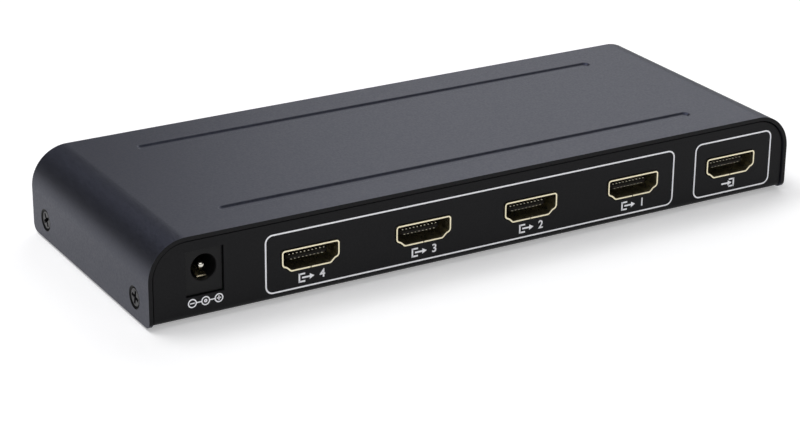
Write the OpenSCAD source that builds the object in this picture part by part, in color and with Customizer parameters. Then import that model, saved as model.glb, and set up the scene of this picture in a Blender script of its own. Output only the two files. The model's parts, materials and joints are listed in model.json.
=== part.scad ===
// Video splitter with one input and four outputs, in a formed sheet-steel case.
// The case lies along X. The front panel, with the lamps and the power switch, faces -Y,
// and the rear panel, with the ports and the power jack, faces +Y.
// Z is zero where the feet stand, and the origin is the middle of the footprint.

/* [Case] */
// Length of the cover, side to side
case_l = 178.5; // [165:0.5:200]
// Depth of the cover, front edge to rear edge
case_d = 67.5; // [62:0.5:80]
// Height from the tray's underside to the top of the cover
case_h = 20.3; // [19.5:0.1:24]
// Thickness of the sheet steel
sheet_t = 1; // [0.8:0.1:1.2]
// Outside radius of the cover's shoulders
shoulder_r = 9.5; // [7:0.1:10.5]
// Gap between the cover and the edges of the tray
panel_gap = 0.35; // [0.2:0.05:0.5]
// How far the panels stand back from the cover's front and rear edges
panel_recess = 0.4; // [0.2:0.1:0.8]
// How far the cover's side walls hang below the tray
skirt_drop = 0.4; // [0.1:0.1:0.6]
// Radius of the side walls' lower corners
skirt_r = 2; // [1:0.1:3]
// Outside radius of the tray's bends
bend_r = 1.5; // [1.3:0.1:2]

/* [Pressed beads] */
// Length of a bead, end to end
bead_l = 132.5; // [100:0.5:140]
// Width of a bead at the cover's face
bead_w = 3.3; // [2:0.1:4]
// Depth of a bead
bead_depth = 0.5; // [0.3:0.05:0.6]
// Distance of a bead from the cover's nearer edge
bead_inset = 11.4; // [9:0.1:16]

/* [Feet] */
// Diameter of a foot
foot_d = 8; // [6:0.5:10]
// Height of a foot
foot_h = 1; // [0.8:0.1:2]
// Rounding of a foot's lower edge
foot_edge = 0.3; // [0.1:0.05:0.4]
// Distance of a foot's centre from the cover's edges
foot_inset = 12; // [8:0.5:20]

/* [Side screws] */
// Outside diameter of the thread
screw_d = 3; // [2.5:0.1:3.2]
// Diameter of the countersunk head
screw_head_d = 5.6; // [5:0.1:6.2]
// Length of a screw, head included
screw_l = 6; // [5:0.5:6.5]
// Height of the screws above the tray's underside
screw_z = 4.7; // [4.4:0.1:6]
// Distance of the screws from the cover's nearer edge
screw_inset = 7.9; // [6:0.1:10]
// Height of the tray's side tabs
tab_h = 6.4; // [6:0.1:7]
// Diameter of the drawn collar round a tab's thread
collar_d = 4.8; // [4.4:0.1:5.4]
// Length of the drawn collar
collar_l = 1; // [0.6:0.1:1.4]
// Width of a blade of the head's cross recess
recess_w = 0.6; // [0.4:0.1:0.8]
// Span of the cross recess
recess_l = 3; // [2.4:0.1:3.4]
// Depth of the cross recess
recess_depth = 0.8; // [0.5:0.1:1]

/* [Main board] */
// Thickness of the board
board_t = 1.6; // [1.2:0.1:1.8]
// Height of the standoffs under the board
board_lift = 3; // [2.6:0.1:3.4]
// Distance of the board's ends from the cover's sides
board_margin = 7; // [6.8:0.1:8]
// Gap between the board and the panels
board_gap = 0.8; // [0.5:0.1:1.4]
// Diameter of a standoff
standoff_d = 5.5; // [5:0.1:6]
// Distance of the standoffs from the board's long edges
standoff_inset = 6; // [5:0.1:8]
// Thread diameter of the board's screws
board_screw_d = 2.5; // [2:0.1:3]
// Head diameter of the board's screws
board_screw_head_d = 4.8; // [4.2:0.1:5.4]
// Head height of the board's screws
board_screw_head_h = 1.7; // [1.2:0.1:2]

/* [Ports] */
// Distance of the first port from the cover's side beside the jack
port_inset = 40.7; // [38:0.1:44]
// Distance of the last port from the cover's other side
input_inset = 17.8; // [16:0.1:24]
// Height of a port's centre above the board
port_rise = 3.5; // [3.3:0.1:3.9]
// Width of a port's mouth
port_w = 14; // [13.8:0.1:14.6]
// Height of a port's mouth
port_h = 4.55; // [4.4:0.05:4.9]
// Height at which the mouth's sides turn in, above its floor
port_ledge = 1.35; // [1.3:0.05:1.5]
// Distance of the floor's ends from the mouth's sides
port_foot = 2; // [1.8:0.1:2.2]
// Radius of the mouth's upper corners
port_r = 0.45; // [0.3:0.05:0.6]
// Thickness of the plated shell
shell_t = 0.45; // [0.3:0.05:0.5]
// Length of the shell
shell_l = 11; // [10:0.5:13]
// How far the shell stands out of the rear panel
port_proud = 0.3; // [0.1:0.1:0.6]
// Gap between the shell and the panel's cut-out
port_gap = 0.15; // [0.1:0.05:0.3]
// Width of the tongue
tongue_w = 11; // [10.6:0.1:11.6]
// Thickness of the tongue
tongue_t = 1.1; // [0.9:0.1:1.3]
// Distance of the tongue's tip behind the mouth
tongue_back = 1.8; // [1.2:0.1:2.4]
// Depth of the mouth, from the rim to the moulded base
mouth_depth = 7; // [6.4:0.1:8]
// Width of a contact
contact_w = 0.3; // [0.2:0.05:0.35]
// Thickness of a contact
contact_t = 0.15; // [0.1:0.05:0.2]

/* [Power jack] */
// Distance of the jack from the cover's side
jack_inset = 14.05; // [13:0.05:15]
// Width of the jack
jack_w = 9; // [8.6:0.1:9.4]
// Height of the jack's face plate
jack_h = 10.6; // [10.5:0.1:11.4]
// Length of the jack
jack_l = 14; // [13:0.1:15]
// Thickness of the jack's square face plate
jack_plate_t = 3.4; // [2.5:0.1:4]
// How far the jack's face stands behind the rear panel's face
jack_back = 0.6; // [0.3:0.1:0.8]
// Bore of the jack
jack_bore_d = 6.2; // [6.1:0.1:6.5]
// Height of the bore above the board
jack_bore_rise = 6.2; // [6:0.1:6.5]
// Depth of the bore
jack_bore_l = 10; // [9.6:0.1:10.5]
// Diameter of the centre pin
jack_pin_d = 2; // [1.7:0.1:2.5]
// Diameter of the pin's root in the bore's end wall
jack_root_d = 3; // [2.8:0.1:3.4]
// Distance of the pin's tip behind the jack's face
jack_pin_back = 0.9; // [0.6:0.1:1.5]
// Width of the leaf spring
leaf_w = 2.4; // [2:0.1:2.8]
// Thickness of the leaf spring
leaf_t = 0.3; // [0.2:0.05:0.35]

/* [Lamps] */
// Diameter of a lamp
lamp_d = 3; // [2.8:0.1:3.2]
// Diameter of a lamp's flange
lamp_flange_d = 3.8; // [3.5:0.1:4]
// Thickness of a lamp's flange
lamp_flange_t = 1; // [0.8:0.1:1.2]
// Length of a lamp
lamp_l = 5.3; // [4.6:0.1:6]
// Height of the lamps above the board
lamp_rise = 3.8; // [3.4:0.1:4.4]
// Distance of the last status lamp from the switch
lamp_to_switch = 18.8; // [16:0.1:24]
// Distance between neighbouring lamps
lamp_pitch = 13.3; // [11:0.1:14]
// Distance of the power lamp from the cover's other side
power_lamp_inset = 19.6; // [17:0.1:24]
// How far a lamp's tip stands out of the front panel's face
lamp_proud = 0.4; // [0:0.1:0.8]
// Gap round a lamp in its hole
lamp_gap = 0.2; // [0.1:0.05:0.3]
// Thickness of a lamp's lead
lead_t = 0.5; // [0.4:0.05:0.6]
// Distance between a lamp's two leads
lead_pitch = 2.54; // [2:0.02:2.6]

/* [Power switch] */
// Distance of the switch from the cover's side
switch_inset = 38.5; // [36:0.5:41]
// Height of the switch above the tray's underside
switch_z = 12.3; // [11.8:0.1:13]
// Length of the bezel
bezel_l = 15.4; // [15:0.1:16]
// Width of the bezel
bezel_w = 10.4; // [10.2:0.1:11]
// How far the bezel stands out of the front panel
bezel_h = 2; // [1.6:0.1:2.4]
// Height of the bezel's upright edge
bezel_edge = 0.5; // [0.2:0.1:0.8]
// Width of the flat rim round the rocker
bezel_rim = 0.8; // [0.5:0.05:0.9]
// Length of the switch behind the front panel's face
switch_depth = 12; // [11.6:0.1:14]
// Thickness of the switch's walls
switch_wall = 0.95; // [0.8:0.05:1.1]
// Thickness of the switch's floor
switch_floor = 1.5; // [1:0.1:2]
// Radius of the rocker's ends about its pivot
rocker_r = 5.15; // [5.1:0.05:5.4]
// Width of the rocker
rocker_w = 6.4; // [6.2:0.1:6.6]
// Tilt of the rocker to each side
rocker_tilt = 10; // [8:0.5:11]
// Height of the rocker's middle above its pivot
rocker_valley = 1.5; // [1.3:0.1:1.8]
// Thickness of the rocker's walls
rocker_wall = 0.9; // [0.7:0.05:1]
// Gap round the rocker
rocker_gap = 0.15; // [0.1:0.05:0.2]
// Distance of the pivot in front of the panel's face
pivot_out = 0.45; // [0.3:0.05:0.6]
// Diameter of the pivot pins
pivot_d = 1.6; // [1.2:0.1:1.8]
// Length of a pivot pin
pivot_l = 0.7; // [0.5:0.05:0.75]
// Tilt of the contact blade to each side
blade_tilt = 6; // [5:0.5:7]
// Length of the terminals' solder tags
tag_l = 5; // [4:0.5:6]
// Diameter of the wires to the board
wire_d = 1.4; // [1.2:0.1:1.6]

/* [Board parts] */
// Width of the splitter chip
chip_w = 14; // [12:0.1:14]
// Height of the splitter chip
chip_h = 1.4; // [1:0.1:1.6]
// Thickness of the thermal pad
pad_t = 0.5; // [0.3:0.1:1]
// Width of the heat sink
sink_w = 20; // [18:0.5:22]
// Height of the heat sink
sink_h = 6.5; // [5:0.1:7]
// Number of fins on the heat sink
fin_count = 7; // [5:1:8]
// Diameter of the capacitors
cap_d = 6.3; // [5:0.1:6.6]
// Height of the capacitors
cap_h = 7.2; // [5:0.1:8]

/* [Hidden] */
$fn = 64;
eps = 0.01;

// Fits shared by neighbouring pieces
thread_gap = 0.05; // between a screw and its thread
hole_gap = 0.2;    // between a fastener, lead or wire and its hole
run_gap = 0.05;    // between a turning pin and its bearing
seat_gap = 0.1;    // between parts that stop against each other

// Levels
tray_z = foot_h;
floor_z = tray_z + sheet_t;
board_z = floor_z + board_lift;
board_top = board_z + board_t;
cover_top = tray_z + case_h;
skirt_z = tray_z - skirt_drop;
panel_top = cover_top - sheet_t - panel_gap;

// The rocker's raised corner, seen from its pivot with the rocker level
rise = tan(rocker_tilt);
slope = 1 + rise * rise;
corner_x = (sqrt(pow(rocker_valley * rise, 2) - slope * (pow(rocker_valley, 2) - pow(rocker_r, 2)))
            - rocker_valley * rise) / slope;
corner_h = rocker_valley + corner_x * rise;
rocker_reach = pivot_out + corner_h * cos(rocker_tilt) + corner_x * sin(rocker_tilt);

// Places along Y: the case is set back by half of what stands out in front of it, in tenths
case_y = round(5 * (rocker_reach - panel_recess)) / 10;
front_edge = case_y - case_d / 2;
rear_edge = case_y + case_d / 2;
front_face = front_edge + panel_recess;
rear_face = rear_edge - panel_recess;
board_front = front_face + sheet_t + board_gap;
board_rear = rear_face - sheet_t - board_gap;
board_y = (board_front + board_rear) / 2;

// Tray
tray_l = case_l - 2 * (sheet_t + panel_gap);
panel_r = shoulder_r - sheet_t - panel_gap;

// Beads: round in section, so their width and depth give the tool's radius
bead_r = (pow(bead_w / 2, 2) + pow(bead_depth, 2)) / (2 * bead_depth);
bead_axis_z = cover_top + bead_r - bead_depth;

// Ports, counted from the jack: outputs 4, 3, 2, 1 and then the input
PORTS = ["output_4", "output_3", "output_2", "output_1", "input"];
port_count = len(PORTS);
port_pitch = (case_l - port_inset - input_inset) / (port_count - 1);
port_z = board_top + port_rise;
port_mouth = rear_face + port_proud;
ledge_w = 1;
ledge_fall = 0.4;
ledge_r = 0.7;
foot_r = 0.5;
seam_w = 0.2;
finger_w = 1.8;
finger_l = 4.4;
finger_x = 3.4;
finger_back = 2.6;
finger_bend = 4;
finger_slot = 0.4;
leg_w = 1.4;
leg_below = 0.4;
leg_places = [4.2, shell_l - 1.4];
heel_t = 1;
base_gap = 0.03;
contact_pitch = 1;
contact_rows = [10, 9];
contact_back = 0.4;
contact_foot = 0.8;
slot_gap = 0.05;
heel_y = -shell_l - heel_t;

// Jack
jack_x = case_l / 2 - jack_inset;
jack_face = rear_face - jack_back;
jack_top_r = jack_w / 2 - 0.4;
leaf_front = 1.3;
leaf_crest = 4;
leaf_root = 9;
leaf_lift = 0.65;
leaf_floor = jack_bore_rise - sqrt(pow(jack_bore_d / 2, 2) - pow(leaf_w / 2, 2)) + seat_gap;
tail_t = 0.6;
tail_w = 1.6;
tail_below = 0.8;
tail_gap = 0.4;

// Lamps
lamp_count = 5;
switch_x = case_l / 2 - switch_inset;
lamp_x = [for (i = [1:lamp_count]) switch_x - lamp_to_switch - (lamp_count - i) * lamp_pitch];
power_lamp_x = case_l / 2 - power_lamp_inset;
lamp_z = board_top + lamp_rise;
lamp_base = front_face - lamp_proud + lamp_l;
lead_reach = 1.8;
lead_below = 1;
lead_y = lamp_base + lead_reach - lead_t / 2;

// Switch
switch_mid = tray_z + switch_z;
pivot_y = front_face - pivot_out;
cavity_r = rocker_r + rocker_gap;
cavity_w = rocker_w + 2 * rocker_gap;
switch_l = 2 * (cavity_r + switch_wall);
switch_w = cavity_w + 2 * switch_wall;
cutout_gap = 0.2;
wing_out = 0.6;
wing_l = 3;
wing_w = 4;
rocker_skirt = 2.2;
post_d = 3.6;
post_l = 4;
post_bore_d = 2.3;
post_bore_start = 0.3;
plunger_d = post_bore_d - 2 * seat_gap;
spring_l = 2.3;
spring_wall = 0.3;
crimp_r = 0.6;
blade_l = 8.4;
blade_w = 3;
blade_t = 0.5;
blade_lift = 1.5;
blade_y = switch_depth - switch_floor - blade_lift;
blade_gap = 0.08;
plunger_reach = pivot_out + blade_y - crimp_r - blade_gap;
head_t = 1.6;
tag_t = 0.8;
side_tag_x = -(blade_l / 2 - head_t / 2);
seat_drop = 0.15;
side_drop = blade_l / 2 * sin(blade_tilt) - (crimp_r - blade_t) * cos(blade_tilt) + seat_gap;
tag_end = front_face + switch_depth + tag_l;
wire_run = 2;
wire_bend = 2.5;
wire_below = 0.8;
wire_y = tag_end + wire_run + wire_bend;
wire_x = [switch_x, switch_x + side_tag_x];

// Standoffs: the rear pair stands between ports, the front pair at the board's corners
standoffs = [
    [(port_x(0) + jack_x) / 2, board_rear - standoff_inset],
    [(port_x(3) + port_x(4)) / 2, board_rear - standoff_inset],
    [case_l / 2 - board_margin - standoff_inset, board_front + standoff_inset],
    [board_margin + standoff_inset - case_l / 2, board_front + standoff_inset]
];

// Board parts
chip_x = port_x(2);
chip_y = board_y - 4;
chip_lift = 0.1;
chip_lead_pitch = 0.8;
chip_leads_a_side = 15;
chip_lead_w = 0.3;
chip_lead_t = 0.15;
chip_lead_l = 1;
sink_base = 2;
fin_t = 1;
supply_x = (port_x(0) + jack_x) / 2;
cap_pitch = cap_d + 3;
cap_base_w = cap_d + 0.2;
coil_w = 7.3;
coil_h = 4;
coil_core_d = 6.2;
reg_w = 6.5;
reg_d = 3.5;
reg_h = 1.6;
reg_pitch = 2.3;
reg_y = board_y - 12;
memory_w = 3.9;
memory_l = 4.9;
memory_h = 1.5;
memory_pitch = 12;
memory_x = port_x(4) + 14;
memory_y = board_y - 6;
crystal_l = 11;
crystal_w = 4.4;
crystal_h = 3.5;
filter_w = 2.5;
filter_d = 1;
filter_h = 0.6;
filter_pitch = 4;

// Shared shapes

function port_x(i) = case_l / 2 - port_inset - i * port_pitch;

function unit(v) = v / norm(v);

// Corners are places with a radius, counter-clockwise, and a corner without one stays sharp
function rectangle(w, d, r) = [for (p = [[-1, -1], [1, -1], [1, 1], [-1, 1]]) [p[0] * w / 2, p[1] * d / 2, r]];

// The mouth of a port: upright sides that turn in along a ledge and slant down to the floor
function port_mouth_corners() =
    let (w = port_w / 2, h = port_h / 2, half = [
        [w - port_foot, -h, foot_r],
        [w - ledge_w, port_ledge - ledge_fall - h, 0],
        [w, port_ledge - h, ledge_r],
        [w, h, port_r]
    ])
    concat(half, [for (i = [len(half) - 1:-1:0]) [-half[i][0], half[i][1], half[i][2]]]);

function place(corner) = [corner[0], corner[1]];

function before(list, i) = list[(i + len(list) - 1) % len(list)];

function after(list, i) = list[(i + 1) % len(list)];

function outward(from, to) = let (d = unit(place(to) - place(from))) [d[1], -d[0]];

// The same outline with a wall round it
function grown(corners, wall) = [for (i = [0:len(corners) - 1])
    let (c = corners[i], a = outward(before(corners, i), c), b = outward(c, after(corners, i)),
         p = place(c) + (a + b) * wall / (1 + a * b))
    [p[0], p[1], c[2] > 0 ? c[2] + wall : 0]];

function port_outline(wall) = grown(port_mouth_corners(), wall);

// An outline with its corners rounded
module rounded(corners) {
    bends = [for (i = [0:len(corners) - 1])
        let (b = place(corners[i]), u = unit(place(before(corners, i)) - b),
             v = unit(place(after(corners, i)) - b), half = acos(u * v) / 2, r = corners[i][2])
        [b + u * r / tan(half), b + v * r / tan(half), b + unit(u + v) * r / sin(half), r]];
    polygon([for (k = bends) each k[3] > 0 ? [k[0], k[1]] : [k[0]]]);
    for (k = bends) if (k[3] > 0) translate(k[2]) circle(k[3]);
}

// A rectangle standing on the axis, with round upper corners
module arch(w, h, r) {
    translate([-w / 2, 0]) square([w, h - r]);
    translate([r - w / 2, 0]) square([w - 2 * r, h]);
    for (s = [-1, 1]) translate([s * (w / 2 - r), h - r]) circle(r);
}

// The same with round lower corners
module trough(w, h, r) {
    translate([0, h]) mirror([0, 1]) arch(w, h, r);
}

// Extrudes an outline in X and Z along Y
module along_y(y0, y1) {
    translate([0, y1, 0]) rotate([90, 0, 0]) linear_extrude(y1 - y0) children();
}

// Extrudes an outline in Y and Z along X, centred
module along_x(w) {
    rotate([90, 0, 90]) linear_extrude(w, center = true) children();
}

// A slab of given size, centred in X and Y, standing on its place
module slab(w, d, h) {
    translate([-w / 2, -d / 2, 0]) cube([w, d, h]);
}

// Places for children, one at each side screw, pointing into the case
module at_side_screws() {
    for (s = [-1, 1], y = [front_edge + screw_inset, rear_edge - screw_inset])
        translate([s * case_l / 2, y, tray_z + screw_z]) rotate([0, -90 * s, 0]) children();
}

module at_port(i) {
    translate([port_x(i), port_mouth, port_z]) children();
}

module at_jack() {
    translate([jack_x, jack_face, board_top]) children();
}

module at_switch() {
    translate([switch_x, front_face, switch_mid]) children();
}

module at_board(x, y) {
    translate([x, y, board_top]) children();
}

// Case

module bead(y, r) {
    run = bead_l - bead_w;
    translate([0, y, bead_axis_z]) {
        rotate([0, 90, 0]) cylinder(h = run, r = r, center = true);
        for (s = [-1, 1]) translate([s * run / 2, 0, 0]) sphere(r);
    }
}

module cover_sheet() {
    along_y(front_edge, rear_edge) difference() {
        translate([0, skirt_z]) arch(case_l, cover_top - skirt_z, shoulder_r);
        translate([0, skirt_z - sheet_t])
            arch(case_l - 2 * sheet_t, cover_top - skirt_z, shoulder_r - sheet_t);
    }
}

module top_cover() {
    bead_places = [front_edge + bead_inset, rear_edge - bead_inset];
    head_r = screw_head_d / 2;
    hole_r = screw_d / 2 + hole_gap;
    over = 1;
    color("#44474e") difference() {
        intersection() {
            union() {
                cover_sheet();
                for (y = bead_places) intersection() {
                    bead(y, bead_r + sheet_t);
                    translate([0, y, cover_top - sheet_t - bead_depth])
                        slab(bead_l + 2 * bead_r, 4 * bead_r, bead_depth + sheet_t / 2);
                }
            }
            translate([0, case_y, skirt_z]) along_x(2 * case_l) trough(case_d, 2 * case_h, skirt_r);
        }
        for (y = bead_places) bead(y, bead_r);
        at_side_screws() rotate_extrude() polygon([
            [0, -over], [head_r, -over], [head_r, 0],
            [hole_r, sheet_t], [hole_r, sheet_t + over], [0, sheet_t + over]
        ]);
    }
}

module tray_sheet() {
    depth = rear_face - front_face;
    intersection() {
        translate([0, case_y, tray_z]) along_x(tray_l) difference() {
            trough(depth, case_h, bend_r);
            translate([0, sheet_t]) trough(depth - 2 * sheet_t, case_h, bend_r - sheet_t);
        }
        along_y(front_edge, rear_edge) translate([0, tray_z]) arch(tray_l, panel_top - tray_z, panel_r);
    }
}

// A tab folded in from a panel's edge, with a drawn collar for the screw's thread
module side_tab(side, panel, inward) {
    reach = screw_inset - panel_recess - sheet_t / 2;
    translate([side * (tray_l / 2 - sheet_t / 2), panel + inward * sheet_t / 2, tray_z + screw_z]) {
        along_x(sheet_t) {
            translate([inward * reach / 2, 0]) square([reach, tab_h], center = true);
            translate([inward * reach, 0]) circle(d = tab_h);
        }
        translate([-side * (sheet_t / 2 - eps), inward * reach, 0]) rotate([0, -90 * side, 0])
            cylinder(d = collar_d, h = collar_l + eps);
    }
}

module base_tray() {
    color("#1f1e20") difference() {
        union() {
            tray_sheet();
            for (s = [-1, 1]) {
                side_tab(s, front_face, 1);
                side_tab(s, rear_face, -1);
            }
        }
        at_side_screws() cylinder(d = screw_d + 2 * thread_gap, h = screw_l + collar_l);
        for (x = concat(lamp_x, [power_lamp_x])) translate([x, front_face + sheet_t / 2, lamp_z])
            rotate([90, 0, 0]) cylinder(d = lamp_d + 2 * lamp_gap, h = 2 * sheet_t, center = true);
        at_switch() along_y(-sheet_t, 2 * sheet_t)
            square([switch_l + 2 * cutout_gap, switch_w + 2 * cutout_gap], center = true);
        for (i = [0:port_count - 1]) at_port(i) along_y(-port_proud - 2 * sheet_t, sheet_t)
            rounded(port_outline(shell_t + port_gap));
        at_jack() along_y(-2 * sheet_t, 2 * sheet_t) translate([-jack_w / 2 - cutout_gap, -cutout_gap])
            square([jack_w + 2 * cutout_gap, jack_h + 2 * cutout_gap]);
    }
}

module rubber_feet() {
    places = [for (s = [-1, 1], y = [front_edge + foot_inset, rear_edge - foot_inset])
        [s * (case_l / 2 - foot_inset), y]];
    r = foot_d / 2;
    color("#161616") for (p = places) translate(p) rotate_extrude() {
        square([r - foot_edge, foot_h]);
        translate([0, foot_edge]) square([r, foot_h - foot_edge]);
        translate([r - foot_edge, foot_edge]) circle(foot_edge);
    }
}

module cross_recess(span, w, depth) {
    for (a = [0, 90]) rotate(a) translate([-span / 2, -w / 2, -depth]) cube([span, w, 2 * depth]);
}

module cover_screws() {
    head_r = screw_head_d / 2 - thread_gap;
    r = screw_d / 2;
    color("#1a1a1b") at_side_screws() difference() {
        rotate_extrude() polygon([[0, 0], [head_r, 0], [r, sheet_t], [r, screw_l], [0, screw_l]]);
        cross_recess(recess_l, recess_w, recess_depth);
    }
}

// Board and its fixings

module main_board() {
    l = case_l - 2 * board_margin;
    leg_slot = [shell_t + 2 * hole_gap, leg_w + 2 * hole_gap];
    color("#1f5a36") translate([0, 0, board_z]) linear_extrude(board_t) difference() {
        translate([-l / 2, board_front]) square([l, board_rear - board_front]);
        for (p = standoffs) translate(p) circle(d = board_screw_d + 2 * hole_gap);
        for (x = concat(lamp_x, [power_lamp_x]), s = [-1, 1])
            translate([x + s * lead_pitch / 2, lead_y]) circle(d = lead_t * sqrt(2) + hole_gap);
        for (x = wire_x) translate([x, wire_y]) circle(d = wire_d + hole_gap);
        for (i = [0:port_count - 1], s = [-1, 1], y = leg_places)
            translate([port_x(i) + s * (port_w + shell_t) / 2, port_mouth - y])
                square(leg_slot, center = true);
        for (y = [leaf_root + leaf_t / 2, jack_l + tail_gap + tail_t / 2])
            translate([jack_x, jack_face - y])
                square([leaf_w + hole_gap, tail_t + 2 * hole_gap], center = true);
    }
}

module board_standoffs() {
    color("#b9b9b4") for (p = standoffs) translate([p[0], p[1], floor_z]) difference() {
        cylinder(d = standoff_d, h = board_lift);
        translate([0, 0, -eps]) cylinder(d = board_screw_d + 2 * thread_gap, h = board_lift + 2 * eps);
    }
}

module board_screws() {
    dome_r = board_screw_head_d;
    shank_l = board_t + board_lift - seat_gap;
    color("#c9c9c4") for (p = standoffs) at_board(p[0], p[1]) difference() {
        union() {
            intersection() {
                cylinder(d = board_screw_head_d, h = board_screw_head_h);
                translate([0, 0, board_screw_head_h - dome_r]) sphere(dome_r);
            }
            translate([0, 0, -shank_l]) cylinder(d = board_screw_d, h = shank_l + eps);
        }
        translate([0, 0, board_screw_head_h])
            cross_recess(board_screw_head_d / 2, recess_w, board_screw_head_h / 2);
    }
}

// Ports

// A leaf sprung inwards from the shell's upper wall, to grip the plug
module shell_finger(x) {
    translate([x - finger_w / 2, -finger_back - finger_l, port_h / 2 + shell_t]) rotate([-finger_bend, 0, 0])
        translate([0, 0, -shell_t]) cube([finger_w, finger_l - finger_slot, shell_t]);
}

module port_shell(i) {
    color("#d8cda4") at_port(i) {
        difference() {
            union() {
                along_y(-shell_l, 0) rounded(port_outline(shell_t));
                for (s = [-1, 1], y = leg_places)
                    translate([s * (port_w + shell_t) / 2, -y, -port_rise - board_t - leg_below])
                        slab(shell_t, leg_w, port_rise + board_t + leg_below + port_h / 4);
            }
            along_y(-2 * shell_l, shell_l) rounded(port_outline(0));
            translate([0, -shell_l / 2, -port_h / 2 - 2 * shell_t]) slab(seam_w, 2 * shell_l, 3 * shell_t);
            for (s = [-1, 1]) translate([s * finger_x, -finger_back - finger_l / 2, port_h / 2 - shell_t])
                slab(finger_w + 2 * finger_slot, finger_l, 3 * shell_t);
        }
        for (s = [-1, 1]) shell_finger(s * finger_x);
    }
}

// Children of the upper row stand above the tongue, and those of the lower row below it
module at_contacts() {
    for (row = [0, 1], k = [0:contact_rows[row] - 1])
        translate([(k - (contact_rows[row] - 1) / 2) * contact_pitch, 0, 0]) children(row);
}

module port_tongue(i) {
    slot_w = contact_w + 2 * slot_gap;
    slot_l = shell_l + heel_t - mouth_depth + 2 * eps;
    slot_h = contact_t + slot_gap;
    slot_y = heel_y + slot_l / 2 - eps;
    color("#23201d") at_port(i) difference() {
        union() {
            along_y(-shell_l - eps, -mouth_depth) rounded(port_outline(-base_gap));
            translate([0, heel_y + heel_t / 2, -port_rise])
                slab(port_w - 2 * port_foot, heel_t, port_rise + port_h / 2);
            translate([0, -(tongue_back + mouth_depth) / 2, -tongue_t / 2])
                slab(tongue_w, mouth_depth - tongue_back + eps, tongue_t);
        }
        at_contacts() {
            translate([0, slot_y, tongue_t / 2]) slab(slot_w, slot_l, slot_h);
            translate([0, slot_y, -tongue_t / 2 - slot_h]) slab(slot_w, slot_l, slot_h);
        }
    }
}

// A contact strip from the tongue's tip through the base and down to the board
module contact(z) {
    tip = -tongue_back - contact_back;
    back = heel_y - contact_t;
    along_x(contact_w) {
        translate([back, z]) square([tip - back, contact_t]);
        translate([back, -port_rise]) square([contact_t, z + contact_t + port_rise]);
        translate([back - contact_foot, -port_rise]) square([contact_foot + contact_t, contact_t]);
    }
}

module port_contacts(i) {
    color("#d9b24a") at_port(i) at_contacts() {
        contact(tongue_t / 2);
        contact(-tongue_t / 2 - contact_t);
    }
}

// Power jack

module jack_housing() {
    color("#19191a") at_jack() difference() {
        union() {
            translate([0, -jack_plate_t / 2, 0]) slab(jack_w, jack_plate_t, jack_h);
            along_y(-jack_l, -jack_plate_t / 2) arch(jack_w, jack_h, jack_top_r);
        }
        translate([0, eps, jack_bore_rise]) rotate([90, 0, 0]) {
            cylinder(d = jack_bore_d, h = jack_bore_l + eps);
            cylinder(d = jack_root_d + 2 * thread_gap, h = 2 * jack_l);
        }
        translate([0, -leaf_root - leaf_t / 2, -eps])
            slab(leaf_w + 2 * hole_gap, leaf_t + 2 * hole_gap, jack_bore_rise);
    }
}

module jack_pin() {
    r = jack_pin_d / 2;
    color("#d6d6d2") at_jack() {
        translate([0, -jack_pin_back - r, jack_bore_rise]) {
            sphere(r);
            rotate([90, 0, 0]) cylinder(r = r, h = jack_bore_l - jack_pin_back);
        }
        translate([0, -jack_bore_l, jack_bore_rise]) rotate([90, 0, 0])
            cylinder(d = jack_root_d, h = jack_l + tail_gap + tail_t - jack_bore_l);
        translate([0, -jack_l - tail_gap - tail_t / 2, -board_t - tail_below])
            slab(tail_w, tail_t, board_t + tail_below + jack_bore_rise);
    }
}

// The leaf runs along the bore's floor, arches up to press on the plug and goes down to the board
module jack_spring() {
    base = leaf_floor;
    crest = leaf_floor + leaf_lift;
    foot = -board_t - tail_below;
    color("#d2b35a") at_jack() along_x(leaf_w) polygon([
        [-leaf_front, base], [-leaf_crest, crest], [-leaf_root, base], [-leaf_root, foot],
        [-leaf_root - leaf_t, foot], [-leaf_root - leaf_t, base + leaf_t], [-leaf_root, base + leaf_t],
        [-leaf_crest, crest + leaf_t], [-leaf_front, base + leaf_t]
    ]);
}

// Lamps

module lamp(x) {
    translate([x, lamp_base, lamp_z]) rotate([90, 0, 0]) {
        difference() {
            cylinder(d = lamp_flange_d, h = lamp_flange_t);
            translate([lamp_d / 2, -lamp_flange_d / 2, -eps])
                cube([lamp_flange_d, lamp_flange_d, lamp_flange_t + 2 * eps]);
        }
        cylinder(d = lamp_d, h = lamp_l - lamp_d / 2);
        translate([0, 0, lamp_l - lamp_d / 2]) sphere(d = lamp_d);
    }
}

module status_lamp(i) {
    color("#1c5c34") lamp(lamp_x[i]);
}

module lamp_power() {
    color("#7c1d22") lamp(power_lamp_x);
}

module lamp_leads() {
    foot_z = board_z - lead_below;
    color("#c8c8c6") for (x = concat(lamp_x, [power_lamp_x]), s = [-1, 1])
        translate([x + s * lead_pitch / 2, 0, 0]) along_x(lead_t) {
            translate([lamp_base, lamp_z - lead_t / 2]) square([lead_reach, lead_t]);
            translate([lead_y - lead_t / 2, foot_z]) square([lead_t, lamp_z + lead_t / 2 - foot_z]);
        }
}

// Power switch

// Section of the bezel: an upright edge, a sloping flank and a flat rim
function bezel_section(half, rim) =
    [[-half, 0], [-half, -bezel_edge], [-rim, -bezel_h], [rim, -bezel_h], [half, -bezel_edge], [half, 0]];

function swapped(points) = [for (p = points) [p[1], p[0]]];

module switch_bezel() {
    intersection() {
        linear_extrude(bezel_w, center = true)
            polygon(bezel_section(bezel_l / 2, cavity_r + bezel_rim));
        along_x(bezel_l) polygon(swapped(bezel_section(bezel_w / 2, cavity_w / 2 + bezel_rim)));
    }
}

// Barb that springs out behind the panel and holds the switch in its cut-out
module switch_wing(side) {
    foot = sheet_t + seat_gap;
    linear_extrude(wing_w, center = true) polygon([
        [side * (switch_l / 2 - eps), foot], [side * (switch_l / 2 + wing_out), foot],
        [side * (switch_l / 2 - eps), foot + wing_l]
    ]);
}

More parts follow.
